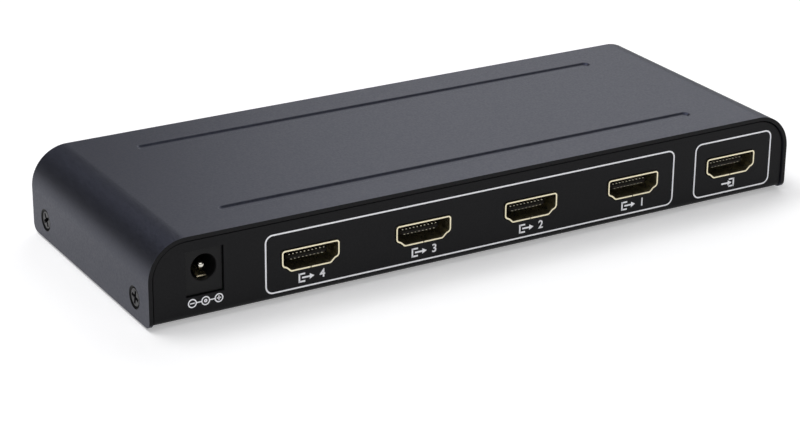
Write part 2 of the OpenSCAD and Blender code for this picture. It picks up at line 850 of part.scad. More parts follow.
module switch_body() {
    inner = switch_depth - switch_floor;
    color("#151516") at_switch() difference() {
        union() {
            switch_bezel();
            translate([0, switch_depth / 2 - eps, -switch_w / 2])
                slab(switch_l, switch_depth + 2 * eps, switch_w);
            for (s = [-1, 1]) switch_wing(s);
        }
        translate([0, -pivot_out, 0]) {
            cylinder(r = cavity_r, h = cavity_w, center = true);
            cylinder(d = pivot_d + 2 * run_gap, h = rocker_w + 2 * (pivot_l + seat_gap), center = true);
        }
        translate([0, -bezel_h, -cavity_w / 2]) slab(2 * cavity_r, 2 * bezel_h, cavity_w);
        translate([0, inner / 2, -cavity_w / 2]) slab(2 * cavity_r, inner, cavity_w);
        for (x = [0, side_tag_x]) translate([x, switch_depth, -blade_w / 2 - slot_gap])
            slab(tag_t + 2 * slot_gap, 4 * switch_floor, blade_w + 2 * slot_gap);
    }
}

// The rocker's side, level, about its pivot: round ends and two faces that meet in a valley
module rocker_side(r, valley, skirt) {
    intersection() {
        circle(r);
        polygon([[-r, -valley - r * rise], [0, -valley], [r, -valley - r * rise], [r, skirt], [-r, skirt]]);
    }
}

// Children move with the rocker and are drawn for the level rocker
module on_rocker() {
    translate([switch_x, pivot_y, switch_mid]) rotate(-rocker_tilt) children();
}

module switch_rocker() {
    roof = rocker_valley - rocker_wall;
    color("#1b1b1c") on_rocker() {
        difference() {
            linear_extrude(rocker_w, center = true) rocker_side(rocker_r, rocker_valley, rocker_skirt);
            linear_extrude(rocker_w - 2 * rocker_wall, center = true)
                rocker_side(rocker_r - rocker_wall, roof, rocker_skirt + 1);
        }
        difference() {
            rotate([-90, 0, 0]) translate([0, 0, -roof - rocker_wall / 2])
                cylinder(d = post_d, h = post_l + roof + rocker_wall / 2);
            rotate([-90, 0, 0]) translate([0, 0, post_bore_start]) cylinder(d = post_bore_d, h = post_l);
        }
        for (s = [-1, 1]) translate([0, 0, s * (rocker_w / 2 + (pivot_l - rocker_wall) / 2)])
            cylinder(d = pivot_d, h = pivot_l + rocker_wall, center = true);
    }
}

module switch_plunger() {
    r = plunger_d / 2;
    start = post_bore_start + spring_l;
    color("#b98a52") on_rocker() rotate([-90, 0, 0]) {
        translate([0, 0, start]) cylinder(r = r, h = plunger_reach - r - start);
        translate([0, 0, plunger_reach - r]) sphere(r);
    }
}

module switch_spring() {
    color("#b4b4b0") on_rocker() rotate([-90, 0, 0]) translate([0, 0, post_bore_start]) difference() {
        cylinder(d = plunger_d, h = spring_l);
        translate([0, 0, -eps]) cylinder(d = plunger_d - 2 * spring_wall, h = spring_l + 2 * eps);
    }
}

module switch_blade() {
    color("#c98f5a") at_switch() translate([0, blade_y, 0]) rotate(blade_tilt) {
        cylinder(r = crimp_r, h = blade_w, center = true);
        translate([0, blade_t / 2 - crimp_r, -blade_w / 2]) slab(blade_l, blade_t, blade_w);
    }
}

// A terminal: a head inside the switch and a solder tag through its floor
module terminal(x, drop) {
    inner = switch_depth - switch_floor;
    translate([x - head_t / 2, blade_y + drop, -blade_w / 2]) cube([head_t, inner - blade_y - drop, blade_w]);
    translate([x - tag_t / 2, inner - eps, -blade_w / 2])
        cube([tag_t, switch_floor + tag_l + eps, blade_w]);
}

module switch_terminals() {
    color("#cfcfc9") at_switch() {
        difference() {
            terminal(0, seat_drop);
            translate([0, blade_y, 0]) cylinder(r = crimp_r + run_gap, h = 2 * blade_w, center = true);
        }
        terminal(side_tag_x, side_drop);
    }
}

module switch_wires() {
    drop_end = board_z - wire_below;
    color("#8e1f1f") for (x = wire_x) {
        translate([x, tag_end + wire_run, switch_mid]) rotate([90, 0, 0]) cylinder(d = wire_d, h = wire_run);
        translate([x, tag_end + wire_run, switch_mid - wire_bend]) rotate([90, 0, 90])
            rotate_extrude(angle = 90) translate([wire_bend, 0]) circle(d = wire_d);
        translate([x, wire_y, drop_end]) cylinder(d = wire_d, h = switch_mid - wire_bend - drop_end);
    }
}

// Board parts

module splitter_chip() {
    color("#202022") at_board(chip_x, chip_y) translate([0, 0, chip_lift]) slab(chip_w, chip_w, chip_h);
}

// A gull-wing lead, from the chip's side down to the board
module chip_lead() {
    mid = chip_lift + chip_h / 2;
    along_x(chip_lead_w) {
        translate([0, mid]) square([chip_lead_l / 2, chip_lead_t]);
        translate([chip_lead_l / 2 - chip_lead_t, 0]) square([chip_lead_t, mid + chip_lead_t]);
        translate([chip_lead_l / 2 - chip_lead_t, 0]) square([chip_lead_l / 2 + chip_lead_t, chip_lead_t]);
    }
}

module chip_leads() {
    color("#c4c4c0") at_board(chip_x, chip_y) for (side = [0:3], k = [0:chip_leads_a_side - 1])
        rotate(90 * side)
            translate([(k - (chip_leads_a_side - 1) / 2) * chip_lead_pitch, chip_w / 2, 0]) chip_lead();
}

module thermal_pad() {
    color("#9fb0bd") at_board(chip_x, chip_y) translate([0, 0, chip_lift + chip_h])
        slab(chip_w, chip_w, pad_t);
}

module heat_sink() {
    gap = (sink_w - fin_count * fin_t) / (fin_count - 1);
    color("#3b3d42") at_board(chip_x, chip_y) translate([0, 0, chip_lift + chip_h + pad_t]) difference() {
        slab(sink_w, sink_w, sink_h);
        for (k = [0:fin_count - 2])
            translate([fin_t + gap / 2 - sink_w / 2 + k * (fin_t + gap), 0, sink_base])
                slab(gap, 2 * sink_w, sink_h);
    }
}

// Voltage regulator: a moulded body with a cooling tab and three feet
module regulator() {
    foot_t = 0.3;
    tab_w = 3;
    foot_w = 0.8;
    reach = 1.6;
    color("#222224") at_board(supply_x, reg_y) {
        slab(reg_w, reg_d, reg_h);
        translate([0, (reg_d + reach) / 2 - eps, 0]) slab(tab_w, reach, foot_t);
        for (k = [-1, 0, 1])
            translate([k * reg_pitch, eps - (reg_d + reach) / 2, 0]) slab(foot_w, reach, foot_t);
    }
}

module power_inductor() {
    lid = 0.4;
    corner = 1.2;
    color("#3a3836") at_board(supply_x, board_y) {
        linear_extrude(coil_h - lid) rounded(rectangle(coil_w, coil_w, corner));
        cylinder(d = coil_core_d, h = coil_h);
    }
}

// Can capacitors on their moulded bases, with the crimp that closes the can
module capacitors() {
    base_h = 0.8;
    crimp_z = 1.6;
    crimp_t = 0.25;
    color("#b7bcc2") for (k = [0:2]) at_board(supply_x - coil_w - k * cap_pitch, board_y + cap_d) {
        slab(cap_base_w, cap_base_w, base_h);
        rotate_extrude() difference() {
            square([cap_d / 2, cap_h]);
            translate([cap_d / 2, base_h + crimp_z]) circle(crimp_t);
        }
    }
}

module memory_chips() {
    foot_t = 0.2;
    foot_w = 0.4;
    reach = 1.05;
    pitch = 1.27;
    color("#242426") for (k = [0, 1]) at_board(memory_x + k * memory_pitch, memory_y) {
        slab(memory_w, memory_l, memory_h);
        for (s = [-1, 1], n = [0:3])
            translate([s * (memory_w + reach - eps) / 2, (n - 1.5) * pitch, 0]) slab(reach, foot_w, foot_t);
    }
}

module crystal() {
    flange = 0.4;
    flange_h = 0.5;
    r = crystal_w / 2 - flange;
    color("#c3c6c9") at_board(chip_x - chip_w - crystal_w, chip_y) rotate(90) {
        linear_extrude(flange_h) rounded(rectangle(crystal_l, crystal_w, r));
        linear_extrude(crystal_h)
            rounded(rectangle(crystal_l - 2 * flange, crystal_w - 2 * flange, r - flange));
    }
}

// Two protection arrays behind each port
module port_filters() {
    y = port_mouth + heel_y - contact_foot - 3 * filter_d;
    color("#2b2b2d") for (i = [0:port_count - 1], s = [-1, 1]) at_board(port_x(i) + s * filter_pitch / 2, y)
        slab(filter_w, filter_d, filter_h);
}

top_cover();
base_tray();
rubber_feet();
cover_screws();
main_board();
board_standoffs();
board_screws();
for (i = [0:port_count - 1]) {
    port_shell(i);
    port_tongue(i);
    port_contacts(i);
}
jack_housing();
jack_pin();
jack_spring();
status_lamp(0);  // lamp_input
for (n = [1:lamp_count - 1]) status_lamp(n);
lamp_power();
lamp_leads();
switch_body();
switch_rocker();
switch_plunger();
switch_spring();
switch_blade();
switch_terminals();
switch_wires();
splitter_chip();
chip_leads();
thermal_pad();
heat_sink();
regulator();
power_inductor();
capacitors();
memory_chips();
crystal();
port_filters();
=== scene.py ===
"""Looks of a four-way video splitter in a formed sheet-steel case.

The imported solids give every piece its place. The case, ports, jack, switch, lamps, screws and feet are
modelled again with the rounded edges of the real pieces, the parts on the board keep their solids, and the
panels get their white print. Lengths are in metres, and +Y is the rear panel with the ports.
"""

import json
import logging
import math
from collections.abc import Callable, Iterable, Sequence
from dataclasses import dataclass
from enum import Enum

import bmesh
import bpy
from mathutils import Matrix, Vector

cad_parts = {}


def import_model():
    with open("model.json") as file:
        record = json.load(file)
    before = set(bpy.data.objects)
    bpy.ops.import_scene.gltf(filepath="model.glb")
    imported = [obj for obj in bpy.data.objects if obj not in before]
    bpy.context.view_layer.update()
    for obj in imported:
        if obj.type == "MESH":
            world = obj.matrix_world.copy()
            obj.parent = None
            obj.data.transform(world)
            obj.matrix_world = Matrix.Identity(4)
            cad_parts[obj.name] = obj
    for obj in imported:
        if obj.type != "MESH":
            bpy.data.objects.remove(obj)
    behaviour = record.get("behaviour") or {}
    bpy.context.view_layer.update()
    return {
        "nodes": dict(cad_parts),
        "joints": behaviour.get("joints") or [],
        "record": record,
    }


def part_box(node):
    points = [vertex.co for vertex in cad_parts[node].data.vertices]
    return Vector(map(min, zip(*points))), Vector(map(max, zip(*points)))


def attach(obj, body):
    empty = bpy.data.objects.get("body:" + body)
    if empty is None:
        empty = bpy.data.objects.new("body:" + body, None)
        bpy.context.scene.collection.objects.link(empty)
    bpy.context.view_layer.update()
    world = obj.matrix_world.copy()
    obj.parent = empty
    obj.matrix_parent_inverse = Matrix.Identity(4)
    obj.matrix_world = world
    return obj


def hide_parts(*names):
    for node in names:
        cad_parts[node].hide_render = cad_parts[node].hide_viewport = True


MM = 0.001
HAIR = 0.01 * MM
OUTPUTS = (4, 3, 2, 1)
PORTS = tuple(f"output_{n}" for n in OUTPUTS) + ("input",)
LAMPS = ("lamp_power", "lamp_input") + tuple(f"lamp_output_{n}" for n in OUTPUTS)
# Least share of an edge's run or a face's normal along an axis for it to count as parallel to the axis
PARALLEL = 0.999
FACING = 0.9
# Faces that meet at less than this angle, in degrees, are one flat face
FLAT_ANGLE = 0.2
# The grain's noise: how many finer layers it has, and how strong each is beside the one before
GRAIN_LAYERS = 3.0
GRAIN_LAYER_SHARE = 0.55

Object = bpy.types.Object
Test = Callable[[object], bool]
log = logging.getLogger("splitter")


class Body(Enum):
    """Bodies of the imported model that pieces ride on."""

    CASE = "case"
    ROCKER = "rocker"


class Pick(Enum):
    """Kinds of mesh element that can be selected."""

    VERTS = "VERT"
    EDGES = "EDGE"
    FACES = "FACE"


class Combine(Enum):
    """Ways to combine a piece with a tool."""

    CUT = "DIFFERENCE"
    FUSE = "UNION"


class Axis(Enum):
    """The frame's axes, by their place in a vector."""

    X = 0
    Y = 1
    Z = 2


# Bench work: small steps that every piece is modelled with


def near(value: float, target: float, slack: float = HAIR) -> bool:
    """Tell whether two lengths agree."""
    return abs(value - target) < slack


def deselect() -> None:
    """Leave edit mode and deselect everything."""
    if bpy.context.mode != "OBJECT":
        bpy.ops.object.mode_set(mode="OBJECT")
    bpy.ops.object.select_all(action="DESELECT")


def solo(piece: Object) -> None:
    """Make one object the only selected and the active one.

    Args:
        piece: The object to work on.
    """
    deselect()
    piece.select_set(True)
    bpy.context.view_layer.objects.active = piece


def settle(name: str) -> Object:
    """Name the primitive that was just added, and move its place, turn and size into its mesh.

    Args:
        name: The piece's name.

    Returns:
        The primitive's object, at the origin.
    """
    piece = bpy.context.object
    solo(piece)
    bpy.ops.object.transform_apply(location=True, rotation=True, scale=True)
    piece.name = piece.data.name = name
    return piece


def block(name: str, low: Sequence[float], high: Sequence[float]) -> Object:
    """Add a cube that fills a box.

    Args:
        name: The piece's name.
        low: The box's lowest corner.
        high: The box's highest corner.

    Returns:
        The new object.
    """
    low, high = Vector(low), Vector(high)
    deselect()
    bpy.ops.mesh.primitive_cube_add(size=1.0, location=(low + high) / 2)
    bpy.context.object.scale = high - low
    return settle(name)


def rod(name: str, start: Sequence[float], end: Sequence[float], radius: float, sides: int = 48) -> Object:
    """Add a cylinder between two points.

    Args:
        name: The piece's name.
        start: The centre of its first end.
        end: The centre of its other end.
        radius: Its radius.
        sides: Its number of sides.

    Returns:
        The new object.
    """
    start, end = Vector(start), Vector(end)
    run = end - start
    deselect()
    bpy.ops.mesh.primitive_cylinder_add(
        vertices=sides,
        radius=radius,
        depth=run.length,
        location=(start + end) / 2,
        rotation=run.to_track_quat("Z", "Y").to_euler(),
    )
    return settle(name)


def leaf(name: str, width: float, height: float) -> Object:
    """Add a flat rectangle about the origin, facing +Z.

    Args:
        name: The piece's name.
        width: Its size along X.
        height: Its size along Y.

    Returns:
        The new object.
    """
    deselect()
    bpy.ops.mesh.primitive_plane_add(size=1.0)
    bpy.context.object.scale = (width, height, 1.0)
    return settle(name)


def middle(element: object) -> Vector:
    """Give the middle of a part of a mesh.

    Args:
        element: A vertex, edge or face.

    Returns:
        Its middle.
    """
    if isinstance(element, bmesh.types.BMVert):
        return element.co
    if isinstance(element, bmesh.types.BMFace):
        return element.calc_center_median()
    return (element.verts[0].co + element.verts[1].co) / 2


def runs_along(edge: bmesh.types.BMEdge, axis: Axis) -> bool:
    """Tell whether an edge is parallel to an axis."""
    run = edge.verts[1].co - edge.verts[0].co
    return abs(run[axis.value]) > PARALLEL * run.length


def at(axis: Axis, place: float) -> Test:
    """Make a test for elements whose middle has a place along an axis.

    Args:
        axis: The axis.
        place: The place along it.

    Returns:
        The test.
    """
    return lambda element: near(middle(element)[axis.value], place)


def edges_along(run: Axis, axis: Axis, place: float) -> Test:
    """Make a test for edges that are parallel to one axis and have a place along another.

    Args:
        run: The axis that they are parallel to.
        axis: The other axis.
        place: The place along it.

    Returns:
        The test.
    """
    return lambda edge: runs_along(edge, run) and near(middle(edge)[axis.value], place)


def facing(axis: Axis, sign: float) -> Test:
    """Make a test for faces that face along an axis.

    Args:
        axis: The axis.
        sign: Above zero for the axis's own direction, below zero for the other.

    Returns:
        The test.
    """
    return lambda face: math.copysign(1.0, sign) * face.normal[axis.value] > FACING


def every(_: object) -> bool:
    """Accept every element."""
    return True


def select(piece: Object, kind: Pick, test: Test) -> None:
    """Enter edit mode and select what a test accepts.

    Args:
        piece: The object to edit.
        kind: The kind of element.
        test: Takes one element and tells whether it is selected.
    """
    solo(piece)
    bpy.ops.object.mode_set(mode="EDIT")
    bpy.ops.mesh.select_mode(type=kind.value)
    bpy.ops.mesh.select_all(action="DESELECT")
    mesh = bmesh.from_edit_mesh(piece.data)
    elements = {Pick.VERTS: mesh.verts, Pick.EDGES: mesh.edges, Pick.FACES: mesh.faces}[kind]
    for element in elements:
        element.select_set(element.select or test(element))
    mesh.select_flush_mode()
    bmesh.update_edit_mesh(piece.data)


def round_edges(piece: Object, test: Test, radius: float, steps: int) -> None:
    """Round the edges that a test accepts.

    Args:
        piece: The object to edit.
        test: Takes an edge and tells whether it is rounded.
        radius: The radius between two faces at a right angle.
        steps: The number of faces across the rounding.
    """
    select(piece, Pick.EDGES, test)
    bpy.ops.mesh.bevel(offset=radius, segments=steps, affect="EDGES")
    deselect()


def round_corners(piece: Object, test: Test, reach: float, steps: int) -> None:
    """Round or chamfer the corners of a flat piece.

    Args:
        piece: The object to edit.
        test: Takes a vertex and tells whether its corner is rounded.
        reach: How far the rounding runs along each edge.
        steps: The number of edges across the corner, one for a chamfer.
    """
    select(piece, Pick.VERTS, test)
    bpy.ops.mesh.bevel(offset=reach, segments=steps, affect="VERTICES")
    deselect()


def extrude(offset: Sequence[float]) -> None:
    """Extrude what is selected in edit mode."""
    bpy.ops.mesh.extrude_region_move(TRANSFORM_OT_translate={"value": tuple(offset)})


def modify(piece: Object, kind: str, **settings: object) -> None:
    """Add a modifier and apply it.

    Args:
        piece: The object to change.
        kind: Blender's name for the modifier's type.
        **settings: The modifier's values.
    """
    solo(piece)
    modifier = piece.modifiers.new(kind.lower(), kind)
    for name, value in settings.items():
        setattr(modifier, name, value)
    bpy.ops.object.modifier_apply(modifier=modifier.name)


def join(name: str, pieces: Sequence[Object]) -> Object:
    """Join objects into one.

    Args:
        name: The joined piece's name.
        pieces: The objects, which the first one takes in.

    Returns:
        The joined object.
    """
    solo(pieces[0])
    for piece in pieces[1:]:
        piece.select_set(True)
    if len(pieces) > 1:
        bpy.ops.object.join()
    pieces[0].name = pieces[0].data.name = name
    return pieces[0]


def combine(piece: Object, tools: Sequence[Object], how: Combine) -> None:
    """Cut a piece with tools, or fuse them with it. The tools are used up.

    Args:
        piece: The object to change.
        tools: Closed shapes that don't touch each other.
        how: What is done with them.
    """
    tool = join("tool", tools)
    modify(piece, "BOOLEAN", object=tool, operation=how.value, solver="EXACT")
    bpy.data.objects.remove(tool)


def clone(piece: Object, name: str, matrix: Matrix) -> Object:
    """Copy a piece with a mesh of its own, and move the copy.

    Args:
        piece: The object to copy.
        name: The copy's name.
        matrix: Moves the copy's mesh.

    Returns:
        The copy.
    """
    copy = piece.copy()
    copy.data = piece.data.copy()
    copy.name = copy.data.name = name
    bpy.context.collection.objects.link(copy)
    copy.data.transform(matrix)
    return copy


def soften(piece: Object, width: float, angle: float = 35.0, steps: int = 3) -> None:
    """Round a piece's sharp edges and shade it smoothly over the roundings.

    Args:
        piece: The object to finish.
        width: The width of the rounding.
        angle: The least angle, in degrees, at which an edge counts as sharp.
        steps: The number of faces across the rounding.
    """
    select(piece, Pick.VERTS, every)
    bpy.ops.mesh.remove_doubles(threshold=HAIR / 10)
    bpy.ops.mesh.dissolve_limited(angle_limit=math.radians(FLAT_ANGLE))
    sharp = math.radians(angle)
    modify(piece, "BEVEL", width=width, segments=steps, limit_method="ANGLE", angle_limit=sharp)
    solo(piece)
    bpy.ops.object.shade_smooth_by_angle(angle=sharp)
    modify(piece, "WEIGHTED_NORMAL", keep_sharp=True)


# Finishes: what each surface is, and how its maker left it


def linear(colour: str) -> tuple[float, float, float, float]:
    """Turn an sRGB hex colour into linear values.

    Args:
        colour: A colour such as "#4A4D56".

    Returns:
        Red, green, blue and an alpha of one.
    """
    parts = [int(colour[i : i + 2], 16) / 255 for i in (1, 3, 5)]
    red, green, blue = (c / 12.92 if c <= 0.04045 else ((c + 0.055) / 1.055) ** 2.4 for c in parts)
    return (red, green, blue, 1.0)


def add_node(
    tree: bpy.types.NodeTree, kind: str, inputs: dict[str, object], **settings: object
) -> bpy.types.Node:
    """Add a shader node.

    Args:
        tree: The material's nodes.
        kind: Blender's name for the node's type.
        inputs: Values for its inputs, or other nodes' outputs to link to them, by the inputs' names.
        **settings: The node's own values.

    Returns:
        The new node.
    """
    node = tree.nodes.new(kind)
    for name, value in settings.items():
        setattr(node, name, value)
    for name, value in inputs.items():
        socket = next(s for s in node.inputs if s.name == name and s.enabled)
        if isinstance(value, bpy.types.NodeSocket):
            tree.links.new(value, socket)
        else:
            socket.default_value = value
    return node


@dataclass(frozen=True)
class Finish:
    """A surface with a fine grain that mottles its colour and gloss and roughens its face.

    Attributes:
        name: The material's name.
        colour: Its main colour.
        fleck: The colour that the grain brings in.
        rough: Roughness in the grain's hollows and on its crests.
        grain: Width of a grain, in millimetres.
        relief: Height of the grain, in millimetres.
        metallic: One for bare metal.
        specular: Strength of the reflection from a surface that isn't metal.
        coat: Strength of a clear top layer.
        stretch: How many times longer than wide the grain is along each axis.
        share: The grain's values between which the fleck comes in.
        glance: Tint of the reflection from a surface that isn't metal.
        glow: Strength of its own light.
    """

    name: str
    colour: str
    fleck: str
    rough: tuple[float, float]
    grain: float
    relief: float
    metallic: float = 0.0
    specular: float = 0.5
    coat: float = 0.0
    stretch: tuple[float, float, float] = (1.0, 1.0, 1.0)
    share: tuple[float, float] = (0.35, 0.7)
    glance: str = "#FFFFFF"
    glow: float = 0.0

    def material(self) -> bpy.types.Material:
        """Give the finish's material, made the first time that it is asked for.

        Returns:
            The material.
        """
        made = bpy.data.materials.get(self.name)
        if made is None:
            made = bpy.data.materials.new(self.name)
            made.use_nodes = True
            made.node_tree.nodes.clear()
            self.build(made.node_tree)
        return made

    def build(self, tree: bpy.types.NodeTree) -> None:
        """Build the finish's nodes: grain to colour, gloss and relief.

        Args:
            tree: The material's nodes.
        """
        grain = self.grained(tree)
        height = self.relief_height(tree, grain)
        bump = add_node(
            tree, "ShaderNodeBump", {"Strength": 1.0, "Distance": self.relief * MM, "Height": height}
        )
        shader = add_node(
            tree,
            "ShaderNodeBsdfPrincipled",
            {
                "Base Color": self.tint(tree, grain),
                "Roughness": self.ramp(tree, grain, *self.rough),
                "Metallic": self.metallic,
                "Specular IOR Level": self.specular,
                "Specular Tint": linear(self.glance),
                "Coat Weight": self.coat,
                "Emission Color": linear(self.fleck),
                "Emission Strength": self.glow,
                "Normal": bump.outputs["Normal"],
            },
        )
        self.extras(shader)
        add_node(tree, "ShaderNodeOutputMaterial", {"Surface": shader.outputs["BSDF"]})

    def grained(self, tree: bpy.types.NodeTree) -> bpy.types.NodeSocket:
        """Add the grain, at its real size on the piece.

        Args:
            tree: The material's nodes.

        Returns:
            The grain's values.
        """
        place = add_node(tree, "ShaderNodeTexCoord", {})
        scale = [1.0 / s for s in self.stretch]
        mapping = add_node(tree, "ShaderNodeMapping", {"Vector": place.outputs["Object"], "Scale": scale})
        noise = add_node(
            tree,
            "ShaderNodeTexNoise",
            {
                "Vector": mapping.outputs["Vector"],
                "Scale": 1.0 / (self.grain * MM),
                "Detail": GRAIN_LAYERS,
                "Roughness": GRAIN_LAYER_SHARE,
            },
        )
        return noise.outputs["Fac"]

    def ramp(
        self, tree: bpy.types.NodeTree, grain: bpy.types.NodeSocket, low: float, high: float
    ) -> bpy.types.NodeSocket:
        """Spread the grain's values between two numbers.

        Args:
            tree: The material's nodes.
            grain: The grain's values.
            low: The number for the hollows.
            high: The number for the crests.

        Returns:
            The spread values.
        """
        spread = add_node(
            tree,
            "ShaderNodeMapRange",
            {
                "Value": grain,
                "From Min": self.share[0],
                "From Max": self.share[1],
                "To Min": low,
                "To Max": high,
            },
        )
        return spread.outputs["Result"]

    def tint(self, tree: bpy.types.NodeTree, grain: bpy.types.NodeSocket) -> bpy.types.NodeSocket:
        """Mix the two colours by the grain.

        Args:
            tree: The material's nodes.
            grain: The grain's values.

        Returns:
            The mixed colour.
        """
        mix = add_node(
            tree,
            "ShaderNodeMix",
            {"Factor": self.ramp(tree, grain, 0.0, 1.0), "A": linear(self.colour), "B": linear(self.fleck)},
            data_type="RGBA",
        )
        return next(s for s in mix.outputs if s.enabled)

    def relief_height(self, tree: bpy.types.NodeTree, grain: bpy.types.NodeSocket) -> bpy.types.NodeSocket:
        """Give the height that the bump reads."""
        return grain

    def extras(self, shader: bpy.types.Node) -> None:
        """Set what only some finishes have."""


@dataclass(frozen=True)
class PowderCoat(Finish):
    """Baked powder paint: fine sand over the slow waves of its flow.

    Attributes:
        wave: Width of a wave, in millimetres.
        wave_share: How much of the relief the waves make up.
    """

    wave: float = 2.4
    wave_share: float = 0.35

    def relief_height(self, tree: bpy.types.NodeTree, grain: bpy.types.NodeSocket) -> bpy.types.NodeSocket:
        """Lay the sand over the waves.

        Args:
            tree: The material's nodes.
            grain: The sand.

        Returns:
            The height of both.
        """
        place = add_node(tree, "ShaderNodeTexCoord", {})
        waves = add_node(
            tree,
            "ShaderNodeTexNoise",
            {"Vector": place.outputs["Object"], "Scale": 1.0 / (self.wave * MM), "Detail": 1.0},
        )
        both = add_node(
            tree,
            "ShaderNodeMix",
            {"Factor": self.wave_share, "A": grain, "B": waves.outputs["Fac"]},
            data_type="FLOAT",
        )
        return next(s for s in both.outputs if s.enabled)


@dataclass(frozen=True)
class Resin(Finish):
    """Cast resin with a glassy skin, dyed and clear enough for light to enter.

    Attributes:
        clear: Share of the light that goes through.
        refraction: The resin's index of refraction.
    """

    rough: tuple[float, float] = (0.2, 0.3)
    grain: float = 0.8
    relief: float = 0.001
    specular: float = 0.3
    coat: float = 0.1
    clear: float = 0.25
    refraction: float = 1.54

    def extras(self, shader: bpy.types.Node) -> None:
        """Let light in."""
        shader.inputs["Transmission Weight"].default_value = self.clear
        shader.inputs["IOR"].default_value = self.refraction


# Charcoal polyester powder on steel: near black, with a blue-grey sheen where it faces the light. The sand
# is drawn twice as coarse as it is, so that it shows.
COVER_COAT = PowderCoat(
    "charcoal_powder_coat_on_steel",
    "#1B1B1F",
    "#292A2F",
    (0.4, 0.52),
    0.55,
    0.022,
    specular=0.55,
    glance="#C2CAF8",
)
# The same paint in black satin: near black, with a faint sheen and hardly any sand
PANEL_COAT = PowderCoat(
    "black_satin_powder_coat_on_steel",
    "#0E0E10",
    "#161618",
    (0.42, 0.54),
    0.5,
    0.006,
    specular=0.14,
)
# Screen ink, cured: flat white, a little thin between the mesh's threads
WHITE_INK = Finish("white_screen_ink", "#F8F8FB", "#EEEEF3", (0.45, 0.6), 0.3, 0.004)
# Gold flash on drawn brass: pale gold with fine drawing marks along the shell
GOLD_FLASH = Finish(
    "gold_flash_on_drawn_brass", "#F0E8CE", "#E2D8B2", (0.26, 0.38), 0.12, 0.0008, 1.0, stretch=(1, 8, 1)
)
# Gold plate on bronze strip: a shade paler, with rolling marks along the strip
GOLD_STRIP = Finish(
    "gold_plate_on_bronze_strip", "#EAE4D2", "#DCD4BA", (0.3, 0.42), 0.1, 0.001, 1.0, stretch=(1, 8, 1)
)
# Black liquid-crystal polymer, moulded: dull black with a brown cast
PORT_PLASTIC = Finish("black_lcp_moulding", "#151311", "#1D1A18", (0.4, 0.5), 0.2, 0.004, specular=0.1)
# Black nylon, moulded: dull black with a faint grain
JACK_PLASTIC = Finish("black_nylon_moulding", "#0E0E0F", "#161617", (0.4, 0.52), 0.25, 0.004, specular=0.18)
# Black polycarbonate, moulded in a spark-eroded tool: black with a fine matt grain
SWITCH_PLASTIC = Finish(
    "black_polycarbonate_moulding", "#0E0E10", "#171719", (0.32, 0.46), 0.3, 0.005, specular=0.2
)
# Bright nickel on turned brass: a clear shine, a little warm
NICKEL = Finish("bright_nickel_on_turned_brass", "#DAD7CE", "#C9C5BA", (0.12, 0.22), 0.1, 0.001, 1.0)
# Phosphor bronze, rolled: pale gold with long rolling marks
BRONZE = Finish(
    "rolled_phosphor_bronze", "#E8DFC4", "#D8CBA4", (0.22, 0.36), 0.15, 0.001, 1.0, stretch=(1, 10, 1)
)
# Tinned steel: grey and slightly cloudy
TINNED_STEEL = Finish("tinned_steel", "#C9C9C5", "#B2B2AE", (0.28, 0.44), 0.4, 0.003, 1.0)
# Spring steel, drawn: grey, with marks along the wire
SPRING_STEEL = Finish(
    "drawn_spring_steel", "#A9A8A4", "#8E8D89", (0.25, 0.4), 0.15, 0.002, 1.0, stretch=(1, 6, 1)
)
# Black oxide on steel: nearly black, with an oily sheen
BLACK_OXIDE = Finish("black_oxide_on_steel", "#1B1B1D", "#2A2A2D", (0.3, 0.46), 0.3, 0.004, 0.6)
# Polyurethane rubber, cast: matt black
RUBBER = Finish("cast_polyurethane_rubber", "#131313", "#1C1C1C", (0.7, 0.85), 0.4, 0.01, specular=0.3)
# Dyed epoxy, cast: deep green and deep red, and a brighter green where the lamp is on
GREEN_RESIN = Resin("green_dyed_epoxy", "#0A3A1E", "#12552D")
LIT_RESIN = Resin("green_dyed_epoxy_lit", "#0E5C2F", "#1C9A50", glow=0.1)
RED_RESIN = Resin("red_dyed_epoxy", "#480D0D", "#651516")
# Glass laminate under green solder mask: glossy, with the weave just showing
SOLDER_MASK = Finish("green_solder_mask_on_laminate", "#0E4A2A", "#1A6A3E", (0.25, 0.4), 0.9, 0.006)
# Epoxy moulding compound: dark grey, dull
CHIP_EPOXY = Finish("epoxy_moulding_compound", "#1D1D1F", "#29292B", (0.55, 0.7), 0.2, 0.004)
# Filled silicone: soft grey-blue
SILICONE = Finish("filled_silicone_pad", "#9DAAB5", "#8593A0", (0.6, 0.75), 0.6, 0.01)
# Black anodised aluminium, extruded: dark grey metal with long drawing marks
ANODISED = Finish(
    "black_anodised_aluminium", "#26272A", "#34363A", (0.35, 0.5), 0.2, 0.003, 0.8, stretch=(1, 10, 1)
)
# Drawn aluminium: light grey, with marks along the can
ALUMINIUM = Finish("drawn_aluminium", "#D2D4D7", "#BCBFC3", (0.25, 0.4), 0.2, 0.002, 1.0, stretch=(1, 1, 6))
# Sintered ferrite: dark grey and grainy
FERRITE = Finish("sintered_ferrite", "#3B3937", "#4A4846", (0.6, 0.75), 0.3, 0.01)
# Extruded vinyl: red, slightly waxy
VINYL = Finish("extruded_red_vinyl", "#8E1E1E", "#A02A28", (0.38, 0.5), 0.5, 0.003)
# Opal acrylic with light under it: an even white without gloss
OPAL_ACRYLIC = Finish(
    "opal_acrylic_lit_from_below", "#F4F4F5", "#F1F1F2", (0.8, 0.9), 2.0, 0.0, specular=0.1, glow=0.35
)


def hand_over(
    piece: Object, finish: Finish, nodes: Iterable[str] = (), body: Body = Body.CASE
) -> None:
    """Dress a finished piece and let it ride on its body.

    Args:
        piece: The finished object.
        finish: Its surface.
        nodes: The solids that it stands for.
        body: The body that carries it.
    """
    piece.data.materials.clear()
    piece.data.materials.append(finish.material())
    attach(piece, body.value)
    if nodes:
        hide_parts(*nodes)
    log.info("%s: %s, on %s", piece.name, finish.name, body.value)


